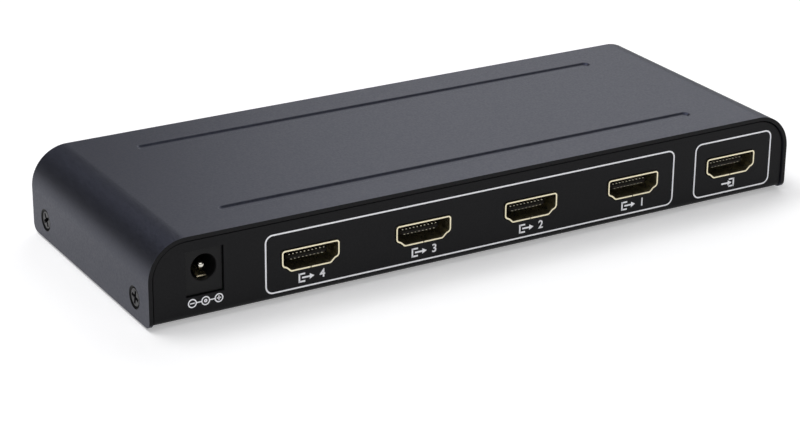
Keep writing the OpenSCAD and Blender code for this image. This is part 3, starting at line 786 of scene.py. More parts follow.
@dataclass
class Face:
    """A flat face that flat pieces are laid on.

    Attributes:
        place: The face's origin.
        right: Direction to the right for someone who looks at it.
        up: Direction upwards.
    """

    place: Vector
    right: Vector
    up: Vector = Vector((0.0, 0.0, 1.0))

    def matrix(self) -> Matrix:
        """Give the move from the XY plane, seen from above, to the face."""
        turn = Matrix((self.right, self.up, self.right.cross(self.up))).transposed()
        return Matrix.Translation(self.place) @ turn.to_4x4()

    def lay(self, piece: Object) -> Object:
        """Move a piece's mesh from the XY plane to the face."""
        piece.data.transform(self.matrix())
        return piece


# Sub-assemblies


@dataclass
class Cover:
    """The cover: one sheet with round shoulders, two pressed beads and four countersunk holes."""

    sheet: float = 1.0 * MM
    shoulder: float = 9.5 * MM
    shoulder_steps: int = 24
    skirt_corner: float = 2.0 * MM
    bead_length: float = 132.5 * MM
    bead_width: float = 3.3 * MM
    bead_floor: float = 0.8 * MM
    bead_depth: float = 0.5 * MM
    bead_inset: float = 11.4 * MM
    bead_step: float = 0.14 * MM
    screw_inset: float = 7.9 * MM
    screw_height: float = 5.7 * MM
    head: float = 5.6 * MM
    hole: float = 3.4 * MM
    edge: float = 0.22 * MM
    sharp: float = 20.0
    wall_facing: float = 0.95

    def __post_init__(self) -> None:
        """Take the cover's box from the frame."""
        self.low, self.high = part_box("top_cover")

    def build(self) -> None:
        """Form the sheet, press the beads, sink the screw holes, and give the cut edges and countersinks
        painted shade.
        """
        cover = self.bent_sheet("cover_sheet", 0.0, self.low.y, self.high.y)
        round_corners(cover, at(Axis.Z, self.low.z), self.skirt_corner, steps=6)
        self.press_beads(cover)
        modify(cover, "SOLIDIFY", thickness=self.sheet, offset=-1.0, use_even_offset=True)
        combine(cover, [self.countersink(place) for place in self.screw_places()], Combine.CUT)
        soften(cover, self.edge, angle=self.sharp)
        hand_over(cover, COVER_COAT, ["top_cover"])
        # Painted shade: the sheet's cut edges that face along Y and the countersinks' walls take the black
        # panel paint, standing in for the shadow in the gap along the panels and in the screw holes
        cover.data.materials.append(PANEL_COAT.material())
        for face in cover.data.polygons:
            face.material_index = int(abs(face.normal.y) > FACING or self.in_countersink(face))

    def in_countersink(self, face: bpy.types.MeshPolygon) -> bool:
        """Tell whether a face belongs to one of the screw holes."""
        near_screw = any((face.center - place).length < self.head / 2 for place in self.screw_places())
        return near_screw and abs(face.normal.x) < self.wall_facing

    def profile(self, inset: float) -> list[Vector]:
        """Give the sheet's section on the +X side, from the end of the flat top to the skirt.

        Args:
            inset: How far inside the sheet's face the section runs.

        Returns:
            Points in the XZ plane.
        """
        centre = Vector((self.high.x - self.shoulder, 0, self.high.z - self.shoulder))
        points = []
        for k in range(self.shoulder_steps + 1):
            turn = math.pi / 2 * (1 - k / self.shoulder_steps)
            out = Vector((math.cos(turn), 0, math.sin(turn)))
            points.append(centre + out * (self.shoulder - inset))
        return points + [Vector((self.high.x - inset, 0, self.low.z))]

    def bent_sheet(self, name: str, inset: float, back: float, front: float) -> Object:
        """Draw a sheet out along the cover's section, and mirror it.

        Args:
            name: The piece's name.
            inset: How far inside the cover's face it lies.
            back: Its lower end along Y.
            front: Its upper end along Y.

        Returns:
            The open sheet, facing outwards.
        """
        points = self.profile(inset)
        flat = points[0]
        sheet = leaf(name, flat.x, front - back)
        sheet.data.transform(Matrix.Translation((flat.x / 2, (back + front) / 2, flat.z)))
        select(sheet, Pick.EDGES, at(Axis.X, flat.x))
        for here, there in zip(points, points[1:]):
            extrude(there - here)
        modify(sheet, "MIRROR", use_axis=(True, False, False), use_clip=True, merge_threshold=HAIR)
        return sheet

    def bead_places(self) -> list[float]:
        """Give the beads' places along Y."""
        return [self.low.y + self.bead_inset, self.high.y - self.bead_inset]

    def press_beads(self, cover: Object) -> None:
        """Score the sheet finely where the beads are, and press it down there.

        Args:
            cover: The formed sheet.
        """
        reach = self.bead_width / 2 + self.bead_step
        steps = round(2 * reach / self.bead_step)
        offsets = [reach * (2 * k / steps - 1) for k in range(steps + 1)]
        ends = [s * (self.bead_length - self.bead_width) / 2 for s in (-1, 1)]
        select(cover, Pick.FACES, every)
        for normal, places in ((Vector((0, 1, 0)), self.bead_places()), (Vector((1, 0, 0)), ends)):
            for cut in [place + offset for place in places for offset in offsets]:
                bpy.ops.mesh.select_all(action="SELECT")
                bpy.ops.mesh.bisect(plane_co=normal * cut, plane_no=normal)
        mesh = bmesh.from_edit_mesh(cover.data)
        for vert in mesh.verts:
            if near(vert.co.z, self.high.z):
                vert.co.z -= self.pressed(vert.co)
        bmesh.update_edit_mesh(cover.data)
        deselect()

    def pressed(self, place: Vector) -> float:
        """Give how deep the beads' tool presses at a place.

        Args:
            place: A point on the flat sheet.

        Returns:
            The depth there.
        """
        run = (self.bead_length - self.bead_width) / 2
        along = max(abs(place.x) - run, 0.0)
        away = min(math.hypot(along, place.y - y) for y in self.bead_places())
        share = (away - self.bead_floor) / (self.bead_width / 2 - self.bead_floor)
        share = min(max(share, 0.0), 1.0)
        return self.bead_depth * (1 - share * share * (3 - 2 * share))

    def screw_places(self) -> list[Vector]:
        """Give the middles of the screws' heads.

        Returns:
            Four points on the cover's side walls.
        """
        return [
            Vector((x, y, self.screw_height))
            for x in (self.low.x, self.high.x)
            for y in (self.low.y + self.screw_inset, self.high.y - self.screw_inset)
        ]

    def countersink(self, place: Vector) -> Object:
        """Make the tool that sinks one screw hole.

        Args:
            place: The middle of the screw's head.

        Returns:
            The tool.
        """
        out = Vector((math.copysign(1.0, place.x), 0.0, 0.0))
        tool = rod("countersink", place - out * self.sheet, place, self.head / 2)
        self.taper(tool, place.x - out.x * self.sheet, place - out * self.sheet, self.hole / self.head)
        extrude(-out * self.sheet)
        select(tool, Pick.FACES, facing(Axis.X, out.x))
        extrude(out * self.sheet)
        deselect()
        return tool

    @staticmethod
    def taper(tool: Object, x: float, centre: Vector, share: float) -> None:
        """Narrow a rod's end, which stays selected.

        Args:
            tool: The rod, along X.
            x: The end's place.
            centre: The end's centre.
            share: The end's new size as a share of the old.
        """
        select(tool, Pick.FACES, lambda face: abs(face.normal.x) > FACING and at(Axis.X, x)(face))
        bpy.ops.transform.resize(value=(1.0, share, share), center_override=centre)


@dataclass
class SideScrews:
    """Countersunk screws with a cross recess, turned in as they happened to stop."""

    cover: Cover
    thread: float = 3.0 * MM
    head: float = 4.3 * MM
    sunk: float = 0.2 * MM
    length: float = 6.0 * MM
    recess: float = 3.4 * MM
    recess_width: float = 0.8 * MM
    recess_depth: float = 0.8 * MM
    turns: tuple[float, ...] = (12.0, 64.0, 31.0, 78.0)
    edge: float = 0.07 * MM

    def build(self) -> None:
        """Turn one screw, cut its recess and copy it to each hole."""
        screw = self.turned_screw()
        copies = []
        for place, turn in zip(self.cover.screw_places(), self.turns):
            side = Matrix.Rotation(0.0 if place.x > 0 else math.pi, 4, "Z")
            spin = Matrix.Rotation(math.radians(turn), 4, "X")
            sink = Matrix.Translation((-self.sunk, 0, 0))
            copies.append(clone(screw, "side_screw", Matrix.Translation(place) @ side @ sink @ spin))
        bpy.data.objects.remove(screw)
        hand_over(join("side_screws", copies), BLACK_OXIDE, ["cover_screws"])

    def turned_screw(self) -> Object:
        """Make one screw.

        Returns:
            The screw, whose head faces +X at the origin.
        """
        sheet = self.cover.sheet
        screw = rod("screw", (-sheet, 0, 0), (0, 0, 0), self.head / 2)
        Cover.taper(screw, -sheet, Vector((-sheet, 0, 0)), self.thread / self.head)
        extrude((sheet - self.length, 0, 0))
        deselect()
        half, width = self.recess / 2, self.recess_width / 2
        tall = block("recess", (-self.recess_depth, -width, -half), (sheet, width, half))
        wide = block("recess", (-self.recess_depth, -half, -width), (sheet, half, width))
        combine(tall, [wide], Combine.FUSE)
        combine(screw, [tall], Combine.CUT)
        soften(screw, self.edge, steps=2)
        return screw


@dataclass
class Port:
    """A receptacle: its outline, plated shell and moulded tongue."""

    width: float = 14.18 * MM
    height: float = 4.73 * MM
    ledge: float = 1.38 * MM
    ledge_fall: float = 0.4 * MM
    ledge_width: float = 1.0 * MM
    foot: float = 2.0 * MM
    corner: float = 0.45 * MM
    ledge_corner: float = 0.47 * MM
    waist_corner: float = 0.25 * MM
    foot_corner: float = 0.2 * MM
    wall: float = 0.36 * MM
    length: float = 11.0 * MM
    panel_gap: float = 0.15 * MM
    seam: float = 0.2 * MM
    finger: float = 1.8 * MM
    finger_length: float = 4.4 * MM
    finger_back: float = 2.6 * MM
    finger_place: float = 3.4 * MM
    finger_slot: float = 0.4 * MM
    finger_bend: float = 4.0
    edge: float = 0.12 * MM
    depth: float = 7.0 * MM
    rise: float = 3.5 * MM
    heel: float = 1.0 * MM
    base_gap: float = 0.03 * MM
    tongue: tuple[float, float] = (11.0 * MM, 1.1 * MM)
    tongue_back: float = 1.8 * MM
    tip_corner: float = 0.8 * MM
    tip_edge: float = 0.36 * MM
    moulding_edge: float = 0.06 * MM

    def mouth(self, port: str) -> Vector:
        """Give the middle of a port's mouth.

        Args:
            port: The port's name.

        Returns:
            The point in the frame.
        """
        low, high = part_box(f"{port}_shell")
        return Vector(((low.x + high.x) / 2, high.y, high.z - self.wall - self.height / 2))

    def outline(self) -> Object:
        """Draw the mouth's outline in the XY plane: a rectangle drawn in below a ledge, with round corners.

        Returns:
            A flat face about the origin.
        """
        floor = -self.height / 2
        ledge = floor + self.ledge
        waist = ledge - self.ledge_fall
        flat = leaf("outline", self.width, self.height)
        for level in (ledge, waist):
            select(flat, Pick.FACES, every)
            bpy.ops.mesh.bisect(plane_co=(0, level, 0), plane_no=(0, 1, 0))
        for level, inset in ((waist, self.ledge_width), (floor, self.foot)):
            select(flat, Pick.VERTS, at(Axis.Y, level))
            bpy.ops.transform.resize(value=(1 - 2 * inset / self.width, 1, 1), center_override=(0, 0, 0))
        select(flat, Pick.FACES, every)
        bpy.ops.mesh.dissolve_faces()
        round_corners(flat, at(Axis.Y, -floor), self.corner, steps=5)
        round_corners(flat, at(Axis.Y, ledge), self.ledge_corner, steps=5)
        round_corners(flat, at(Axis.Y, waist), self.waist_corner, steps=3)
        round_corners(flat, at(Axis.Y, floor), self.foot_corner, steps=3)
        return flat

    def prism(self, name: str, back: float, front: float, grow: float) -> Object:
        """Extrude the mouth's outline, grown outwards, along Y.

        Args:
            name: The piece's name.
            back: The prism's end inside the case.
            front: Its other end.
            grow: How far outside the mouth it runs.

        Returns:
            The prism about the mouth's middle.
        """
        piece = self.outline()
        piece.name = piece.data.name = name
        select(piece, Pick.FACES, every)
        extrude((0, 0, front - back))
        bpy.ops.mesh.select_all(action="SELECT")
        bpy.ops.mesh.normals_make_consistent(inside=False)
        bpy.ops.transform.shrink_fatten(value=grow, use_even_offset=True)
        deselect()
        return Face(Vector((0, back, 0)), Vector((-1, 0, 0))).lay(piece)

    def cutter(self, mouth: Vector, reach: float) -> Object:
        """Make the tool that cuts a port's hole in the panel.

        Args:
            mouth: The middle of the port's mouth.
            reach: How far the tool reaches to either side.

        Returns:
            The tool.
        """
        tool = self.prism("port_opening", -reach, reach, self.wall + self.panel_gap)
        tool.data.transform(Matrix.Translation(mouth))
        return tool

    def moulding(self) -> Object:
        """Mould the tongue on its base and heel.

        Returns:
            The moulding, with the mouth about the origin facing +Y.
        """
        wide, thick = self.tongue[0] / 2, self.tongue[1] / 2
        tip = -self.tongue_back
        tongue = block("tongue", (-wide, -self.depth - self.heel, -thick), (wide, tip, thick))
        round_edges(tongue, edges_along(Axis.Z, Axis.Y, tip), self.tip_corner, steps=1)
        round_edges(tongue, edges_along(Axis.X, Axis.Y, tip), self.tip_edge, steps=1)
        half, root = self.width / 2, -self.length
        low, high = (-half, root - 2 * self.heel, -self.rise), (half, root, self.height / 2)
        heel = block("heel", low, high)
        base = self.prism("base", root - self.heel, -self.depth, -self.base_gap)
        combine(heel, [base], Combine.FUSE)
        combine(tongue, [heel], Combine.FUSE)
        soften(tongue, self.moulding_edge, steps=2)
        return tongue

    def shell(self) -> Object:
        """Draw the shell, slit it and bend its fingers.

        Returns:
            The shell, with its mouth about the origin facing +Y.
        """
        shell = self.outline()
        select(shell, Pick.FACES, every)
        bpy.ops.mesh.delete(type="ONLY_FACE")
        select(shell, Pick.EDGES, every)
        extrude((0, 0, -self.length))
        bpy.ops.mesh.select_all(action="SELECT")
        bpy.ops.mesh.normals_make_consistent(inside=False)
        modify(shell, "SOLIDIFY", thickness=self.wall, offset=1.0, use_even_offset=True)
        Face(Vector(), Vector((-1, 0, 0))).lay(shell)
        combine(shell, self.slots(), Combine.CUT)
        combine(shell, [self.sprung_finger(s * self.finger_place) for s in (-1, 1)], Combine.FUSE)
        soften(shell, self.edge)
        return shell

    def slots(self) -> list[Object]:
        """Make the tools for the seam and for the slots round the sprung fingers.

        Returns:
            The tools.
        """
        top, half = self.height / 2, self.finger / 2 + self.finger_slot
        front = -self.finger_back
        back = front - self.finger_length
        low, high = (-self.seam / 2, -2 * self.length, -2 * top), (self.seam / 2, self.length, 0)
        tools = [block("seam", low, high)]
        for place in (-self.finger_place, self.finger_place):
            tools.append(block("slot", (place - half, back, 0), (place + half, front, 2 * top)))
        return tools

    def sprung_finger(self, place: float) -> Object:
        """Make one finger, bent inwards from its root in the shell's upper wall.

        Args:
            place: The finger's place along X.

        Returns:
            The finger.
        """
        root = Vector((place, -self.finger_back - self.finger_length, self.height / 2 + self.wall))
        low = Vector((-self.finger / 2, -self.wall, -self.wall))
        finger = block("finger", low, (self.finger / 2, self.finger_length - self.finger_slot, -HAIR))
        bend = Matrix.Rotation(math.radians(-self.finger_bend), 4, "X")
        finger.data.transform(Matrix.Translation(root) @ bend)
        return finger

    def build(self) -> None:
        """Make one shell and one moulding, and copy them to each port."""
        shell, moulding = self.shell(), self.moulding()
        for port in PORTS:
            place = Matrix.Translation(self.mouth(port))
            copy = clone(shell, f"{port}_plated_shell", place)
            hand_over(copy, GOLD_FLASH, [f"{port}_shell"])
            copy = clone(moulding, f"{port}_moulding", place)
            hand_over(copy, PORT_PLASTIC, [f"{port}_tongue"])
        for pattern in (shell, moulding):
            bpy.data.objects.remove(pattern)


@dataclass
class Jack:
    """The power jack's moulded housing."""

    bore: float = 6.2 * MM
    bore_depth: float = 10.0 * MM
    plate: float = 3.4 * MM
    shoulder: float = 4.1 * MM
    root: float = 3.1 * MM
    mouth: float = 0.35 * MM
    edge: float = 0.15 * MM

    def build(self, axis: Vector) -> None:
        """Mould the housing round its bore.

        Args:
            axis: A point on the bore's axis.
        """
        low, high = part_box("jack_housing")
        housing = block("jack_body", low, (high.x, high.y - self.plate / 2, high.z))
        round_edges(housing, edges_along(Axis.Y, Axis.Z, high.z), self.shoulder, steps=10)
        combine(housing, [block("plate", (low.x, high.y - self.plate, low.z), high)], Combine.FUSE)
        face = Vector((axis.x, high.y, axis.z))
        back = Vector((0, -1, 0))
        tool = rod("bore", face + back * self.bore_depth, face - back * self.bore, self.bore / 2)
        combine(housing, [tool], Combine.CUT)
        tool = rod("root", face + back * self.bore_depth * 2, face, self.root / 2)
        combine(housing, [tool], Combine.CUT)

        def round_the_bore(edge: bmesh.types.BMEdge) -> bool:
            """Tell whether an edge runs round the bore's mouth."""
            away = (middle(edge) - face).length
            return at(Axis.Y, high.y)(edge) and near(away, self.bore / 2, self.mouth / 2)

        round_edges(housing, round_the_bore, self.mouth, steps=3)
        soften(housing, self.edge)
        hand_over(housing, JACK_PLASTIC, ["jack_housing"])


@dataclass
class Switch:
    """The rocker switch: a bezel with sloping flanks on its body, and a rocker with two faces.

    Attributes:
        pivot: The rocker's pivot.
        panel: The front panel's place along Y.
    """

    pivot: Vector
    panel: float
    bezel: tuple[float, float] = (15.4 * MM, 10.4 * MM)
    bezel_height: float = 2.0 * MM
    bezel_edge: float = 0.5 * MM
    rim: float = 0.8 * MM
    body: tuple[float, float] = (12.5 * MM, 8.6 * MM)
    depth: float = 12.0 * MM
    floor: float = 1.5 * MM
    rocker_radius: float = 5.15 * MM
    rocker_width: float = 6.4 * MM
    gap: float = 0.15 * MM
    valley: float = 1.5 * MM
    skirt: float = 2.2 * MM
    tilt: float = 10.0
    mark_place: float = 2.35 * MM
    bezel_rounding: float = 0.18 * MM
    bezel_sharp: float = 25.0
    rocker_rounding: float = 0.3 * MM
    rocker_sharp: float = 15.0

    def build(self) -> None:
        """Mould the body and the rocker."""
        hand_over(self.body_with_bezel(), SWITCH_PLASTIC, ["switch_body"])
        hand_over(self.rocker(), SWITCH_PLASTIC, ["switch_rocker"], Body.ROCKER)

    def body_with_bezel(self) -> Object:
        """Draw the bezel out of the panel, its opening in, and the body behind it.

        Returns:
            The body.
        """
        centre = Vector((self.pivot.x, self.panel, self.pivot.z))
        half = Vector((self.bezel[0] / 2, 0, self.bezel[1] / 2))
        opening = (self.rocker_radius + self.gap, self.rocker_width / 2 + self.gap)
        piece = block("switch_housing", centre - half - Vector((0, self.bezel_edge, 0)), centre + half)
        select(piece, Pick.FACES, facing(Axis.Y, -1))
        extrude((0, self.bezel_edge - self.bezel_height, 0))
        share = [(opening[k] + self.rim) * 2 / self.bezel[k] for k in (0, 1)]
        bpy.ops.transform.resize(value=(share[0], 1, share[1]), center_override=centre)
        bpy.ops.mesh.inset(thickness=self.rim)
        extrude((0, self.bezel_height + self.depth - self.floor, 0))
        select(piece, Pick.FACES, lambda face: face.normal.y > FACING and at(Axis.Y, self.panel)(face))
        extrude((0, 0, 0))
        share = [self.body[k] / self.bezel[k] for k in (0, 1)]
        bpy.ops.transform.resize(value=(share[0], 1, share[1]), center_override=centre)
        extrude((0, self.depth, 0))
        deselect()
        soften(piece, self.bezel_rounding, angle=self.bezel_sharp)
        return piece

    def rocker(self) -> Object:
        """Cut one half of the level rocker from a rod, mirror it and tilt it to rest.

        Returns:
            The rocker.
        """
        half = self.rocker_width / 2
        piece = rod("rocker_cap", (0, 0, -half), (0, 0, half), self.rocker_radius, sides=96)
        rise = math.tan(math.radians(self.tilt))
        cuts = (
            ((0, -self.valley, 0), (-rise, -1, 0), True),
            ((0, self.skirt, 0), (0, 1, 0), True),
            ((0, 0, 0), (-1, 0, 0), False),
        )
        for place, normal, fill in cuts:
            select(piece, Pick.FACES, every)
            bpy.ops.mesh.bisect(plane_co=place, plane_no=normal, use_fill=fill, clear_outer=True)
        modify(piece, "MIRROR", use_axis=(True, False, False), use_clip=True, merge_threshold=HAIR)
        soften(piece, self.rocker_rounding, angle=self.rocker_sharp)
        piece.data.transform(self.at_rest())
        return piece

    def at_rest(self) -> Matrix:
        """Give the move from the level rocker about the origin to its rest."""
        return Matrix.Translation(self.pivot) @ Matrix.Rotation(math.radians(-self.tilt), 4, "Z")

    def mark_face(self, side: int) -> Face:
        """Give the face for the mark on one half of the rocker.

        Args:
            side: 1 for the half towards +X, -1 for the other.

        Returns:
            The face about the mark's middle.
        """
        rest = self.at_rest()
        right = Vector((1, -side * math.tan(math.radians(self.tilt)), 0)).normalized()
        place = Vector((0, -self.valley, 0)) + right * side * self.mark_place
        return Face(rest @ place, rest.to_3x3() @ right)


@dataclass
class Lamps:
    """Round 3 mm lamps with a flange, behind the front panel."""

    flange: float = 1.0 * MM
    flange_radius: float = 1.9 * MM
    radius: float = 1.5 * MM
    length: float = 5.3 * MM
    tip_share: float = 0.97
    edge: float = 0.05 * MM
    sharp: float = 50.0

    def build(self) -> None:
        """Cast one lamp and copy it to each place."""
        lamp = self.cast_lamp()
        finishes = {f"lamp_output_{n}": (GREEN_RESIN, "lamp_green") for n in OUTPUTS}
        finishes["lamp_output_4"] = (LIT_RESIN, "lamp_green")
        finishes["lamp_input"] = (GREEN_RESIN, "lamp_green")
        finishes["lamp_power"] = (RED_RESIN, "lamp_red")
        for node, (finish, slot) in finishes.items():
            low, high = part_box(node)
            base = Vector((low.x + self.flange_radius, high.y, (low.z + high.z) / 2))
            copy = clone(lamp, node.replace("lamp", "lens"), Matrix.Translation(base))
            hand_over(copy, finish, [node])
        bpy.data.objects.remove(lamp)

    def cast_lamp(self) -> Object:
        """Draw a lamp from its flange at the origin to its round tip, towards -Y.

        Returns:
            The lamp.
        """
        lamp = rod("lamp", (0, 0, 0), (0, -self.flange, 0), self.flange_radius)
        select(lamp, Pick.FACES, facing(Axis.Y, -1))
        bpy.ops.mesh.inset(thickness=self.flange_radius - self.radius)
        extrude((0, self.flange - self.length, 0))
        round_edges(lamp, at(Axis.Y, -self.length), self.tip_share * self.radius, steps=10)
        soften(lamp, self.edge, angle=self.sharp, steps=2)
        return lamp


@dataclass
class Feet:
    """Cast feet, stuck on under the tray."""

    inset: float = 12.0 * MM
    rounding: float = 0.3 * MM
    edge: float = 0.05 * MM
    sharp: float = 50.0

    def build(self, cover: Cover) -> None:
        """Cast one foot and copy it to the four corners.

        Args:
            cover: The cover, whose edges place the feet.
        """
        low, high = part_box("rubber_feet")
        radius = high.x - (cover.high.x - self.inset)
        foot = rod("foot", (0, 0, low.z), (0, 0, high.z), radius)
        round_edges(foot, at(Axis.Z, low.z), self.rounding, steps=4)
        soften(foot, self.edge, angle=self.sharp, steps=2)
        copies = [
            clone(foot, "foot", Matrix.Translation((x, y, 0)))
            for x in (low.x + radius, high.x - radius)
            for y in (low.y + radius, high.y - radius)
        ]
        bpy.data.objects.remove(foot)
        hand_over(join("cast_feet", copies), RUBBER, ["rubber_feet"])


@dataclass
class Tray:
    """The tray: one sheet bent up into the bottom and both panels, with its cut-outs."""

    sheet: float = 1.0 * MM
    bend: float = 1.5 * MM
    clearance: float = 0.2 * MM
    edge: float = 0.12 * MM

    def __post_init__(self) -> None:
        """Take the tray's box from the frame."""
        self.low, self.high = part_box("base_tray")

    def build(self, cover: Cover, port: Port, switch: Switch) -> None:
        """Bend the sheet, round the panels' upper corners and cut the openings.

        Args:
            cover: The cover, whose section the panels follow.
            port: The receptacle whose outline is cut.
            switch: The switch whose body is let in.
        """
        tray = block("tray_sheet", self.low, self.high)
        select(tray, Pick.FACES, lambda face: max(face.normal.z, abs(face.normal.x)) > FACING)
        bpy.ops.mesh.delete(type="FACE")
        round_edges(tray, edges_along(Axis.X, Axis.Z, self.low.z), self.bend, steps=6)
        modify(tray, "SOLIDIFY", thickness=self.sheet, offset=-1.0, use_even_offset=True)
        combine(tray, [self.surplus(cover)], Combine.CUT)
        combine(tray, self.openings(port, switch), Combine.CUT)
        soften(tray, self.edge)
        hand_over(tray, PANEL_COAT, ["base_tray"])

    def surplus(self, cover: Cover) -> Object:
        """Make the tool that trims the panels' upper corners to the cover's section.

        Args:
            cover: The cover.

        Returns:
            The tool.
        """
        inset = cover.high.x - self.high.x
        tool = cover.bent_sheet("surplus", inset, self.low.y - self.sheet, self.high.y + self.sheet)
        modify(tool, "SOLIDIFY", thickness=cover.shoulder, offset=1.0, use_even_offset=True)
        tool.data.transform(Matrix.Translation((0, 0, HAIR)))
        return tool

    def openings(self, port: Port, switch: Switch) -> list[Object]:
        """Make the tools for the ports', jack's, switch's and lamps' openings.

        Args:
            port: The receptacle.
            switch: The switch.

        Returns:
            The tools.
        """
        reach = Vector((0, 2 * self.sheet, 0))
        tools = [port.cutter(port.mouth(name), 2 * self.sheet) for name in PORTS]
        gap = Vector((self.clearance, 0, self.clearance))
        low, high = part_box("jack_housing")
        low.y = self.high.y - self.sheet / 2
        high.y = low.y
        tools.append(block("jack_opening", low - gap - reach, high + gap + reach))
        half = Vector((switch.body[0] / 2, 0, switch.body[1] / 2)) + gap + reach
        front = Vector((switch.pivot.x, self.low.y, switch.pivot.z))
        tools.append(block("switch_opening", front - half, front + half))
        for node in LAMPS:
            low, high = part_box(node)
            radius = (high.z - low.z) / 2
            place = Vector((low.x + radius, self.low.y, low.z + radius))
            tools.append(rod("lamp_hole", place - reach, place + reach, Lamps.radius + self.clearance))
        return tools


@dataclass
class Print:
    """White print: frames round the ports, numbers, arrows and signs, and the switch's marks."""

    thick: float = 0.03 * MM
    line: float = 0.38 * MM
    stroke: float = 0.42 * MM
    number: float = 2.9 * MM
    switch_text: float = 2.25 * MM
    frame_corner: float = 2.0 * MM
    frame_heights: tuple[float, float] = (2.7 * MM, 17.35 * MM)
    output_frame: tuple[float, float] = (29.05 * MM, 143.2 * MM)
    input_frame: tuple[float, float] = (149.55 * MM, 173.5 * MM)
    rear_label: float = 5.15 * MM
    front_label: float = 6.3 * MM
    boldness: float = 0.02
    ring_sides: int = 36
    bracket: tuple[float, float] = (1.5 * MM, 2.3 * MM)
    bracket_place: float = 1.5 * MM
    arrow_shaft: float = 2.0 * MM
    arrow_head: float = 1.2 * MM
    tip_inward: float = 0.9 * MM
    tip_outward: float = 2.4 * MM
    arrow_place: float = -1.4 * MM
    number_place: float = 3.1 * MM
    polarity_drop: float = 1.8 * MM
    polarity_pitch: float = 3.3 * MM
    polarity_ring: float = 1.1 * MM
    polarity_dot: tuple[float, float] = (0.42 * MM, 0.3 * MM)
    polarity_sign: float = 1.1 * MM
    polarity_line: float = 0.28 * MM
    power_ring: float = 1.05 * MM
    power_gap: float = 35.0
    power_bar: float = 1.2 * MM
    off_ring: tuple[float, float] = (1.12 * MM, 0.4 * MM)
    on_bar: tuple[float, float] = (2.4 * MM, 0.45 * MM)

    def solid(self, flat: Object) -> Object:
        """Give a flat shape in the XY plane the ink's thickness."""
        modify(flat, "SOLIDIFY", thickness=self.thick, offset=1.0)
        return flat

    def bar(self, x: float, y: float, width: float, height: float) -> Object:
        """Print a bar.

        Args:
            x: Its centre along X.
            y: Its centre along Y.
            width: Its size along X.
            height: Its size along Y.

        Returns:
            The print.
        """
        flat = leaf("bar", width, height)
        flat.data.transform(Matrix.Translation((x, y, 0)))
        return self.solid(flat)

    def frame(self, x: tuple[float, float], y: tuple[float, float]) -> Object:
        """Print a rectangle's outline with round corners.

        Args:
            x: Its left and right sides.
            y: Its lower and upper sides.

        Returns:
            The print.
        """
        flat = leaf("frame", x[1] - x[0], y[1] - y[0])
        round_corners(flat, every, self.frame_corner, steps=6)
        select(flat, Pick.FACES, every)
        bpy.ops.mesh.inset(thickness=self.line)
        bpy.ops.mesh.delete(type="FACE")
        deselect()
        flat.data.transform(Matrix.Translation(((x[0] + x[1]) / 2, (y[0] + y[1]) / 2, 0)))
        return self.solid(flat)

    def ring(self, x: float, y: float, radius: float, stroke: float, gap: float = 0.0) -> Object:
        """Print a ring, open at the top by an angle.

        Args:
            x: Its centre along X.
            y: Its centre along Y.
            radius: Its outer radius.
            stroke: Its line's width.
            gap: Half of the opening, in degrees.

        Returns:
            The print.
        """
        deselect()
        bpy.ops.mesh.primitive_circle_add(vertices=self.ring_sides, radius=radius, fill_type="NGON")
        flat = settle("ring")
        select(flat, Pick.FACES, every)
        bpy.ops.mesh.inset(thickness=stroke)
        bpy.ops.mesh.delete(type="FACE")
        select(flat, Pick.FACES, lambda face: self.open_at(middle(face), gap))
        bpy.ops.mesh.delete(type="FACE")
        deselect()
        flat.data.transform(Matrix.Translation((x, y, 0)))
        return self.solid(flat)

    @staticmethod
    def open_at(place: Vector, gap: float) -> bool:
        """Tell whether a place lies within an angle of straight up."""
        return math.degrees(math.atan2(abs(place.x), place.y)) < gap

    def text(self, x: float, y: float, words: str, size: float) -> Object:
        """Print a number or ON and OFF about a place.

        Args:
            x: The middle along X.
            y: The middle along Y.
            words: What is printed.
            size: The letters' size.

        Returns:
            The print.
        """
        deselect()
        bpy.ops.object.text_add()
        letters = bpy.context.object.data
        letters.body, letters.size, letters.offset = words, size, self.boldness * size
        letters.align_x, letters.align_y = "CENTER", "CENTER"
        bpy.ops.object.convert(target="MESH")
        flat = settle("text")
        flat.data.transform(Matrix.Translation((x, y, 0)))
        return self.solid(flat)

    def arrow(self, x: float, y: float, inward: bool) -> list[Object]:
        """Print a bracket with an arrow that leaves it, or goes into it.

        Args:
            x: The middle along X.
            y: The middle along Y.
            inward: Whether the arrow goes in.

        Returns:
            The prints.
        """
        wide, tall = self.bracket
        shaft, head = self.arrow_shaft, self.arrow_head
        side = 1 if inward else -1
        back = x + side * self.bracket_place
        marks = [self.bar(back, y, self.stroke, tall)]
        for s in (-1, 1):
            level = y + s * (tall - self.stroke) / 2
            marks.append(self.bar(back - side * wide / 2, level, wide, self.stroke))
        tip = x + (self.tip_inward if inward else self.tip_outward)
        marks.append(self.bar(tip - head - shaft / 2, y, shaft, self.stroke))
        # A triangle with equal sides is 1.5 times as high as the radius of the circle round it
        radius = head / 1.5
        deselect()
        bpy.ops.mesh.primitive_circle_add(vertices=3, radius=radius, fill_type="NGON")
        point = settle("point")
        turn = Matrix.Rotation(-math.pi / 2, 4, "Z")
        point.data.transform(Matrix.Translation((tip - radius, y, 0)) @ turn)
        return marks + [self.solid(point)]

    def polarity(self, x: float, y: float) -> list[Object]:
        """Print the sign for a plug whose centre is positive.

        Args:
            x: The middle along X.
            y: The middle along Y.

        Returns:
            The prints.
        """
        apart, radius = self.polarity_pitch, self.polarity_ring
        sign, thin = self.polarity_sign, self.polarity_line
        marks = [self.ring(x + s * apart, y, radius, thin) for s in (-1, 1)]
        marks.append(self.ring(x, y, radius, thin))
        marks.append(self.ring(x, y, *self.polarity_dot))
        marks += [self.bar(x + s * apart, y, sign, thin) for s in (-1, 1)]
        marks.append(self.bar(x + apart, y, thin, sign))
        marks += [self.bar(x + s * apart / 2, y, apart - 2 * radius, thin) for s in (-1, 1)]
        return marks

    def power(self, x: float, y: float) -> list[Object]:
        """Print the power sign."""
        ring = self.ring(x, y, self.power_ring, self.stroke, self.power_gap)
        return [ring, self.bar(x, y + self.power_bar / 2, self.stroke, self.power_bar)]

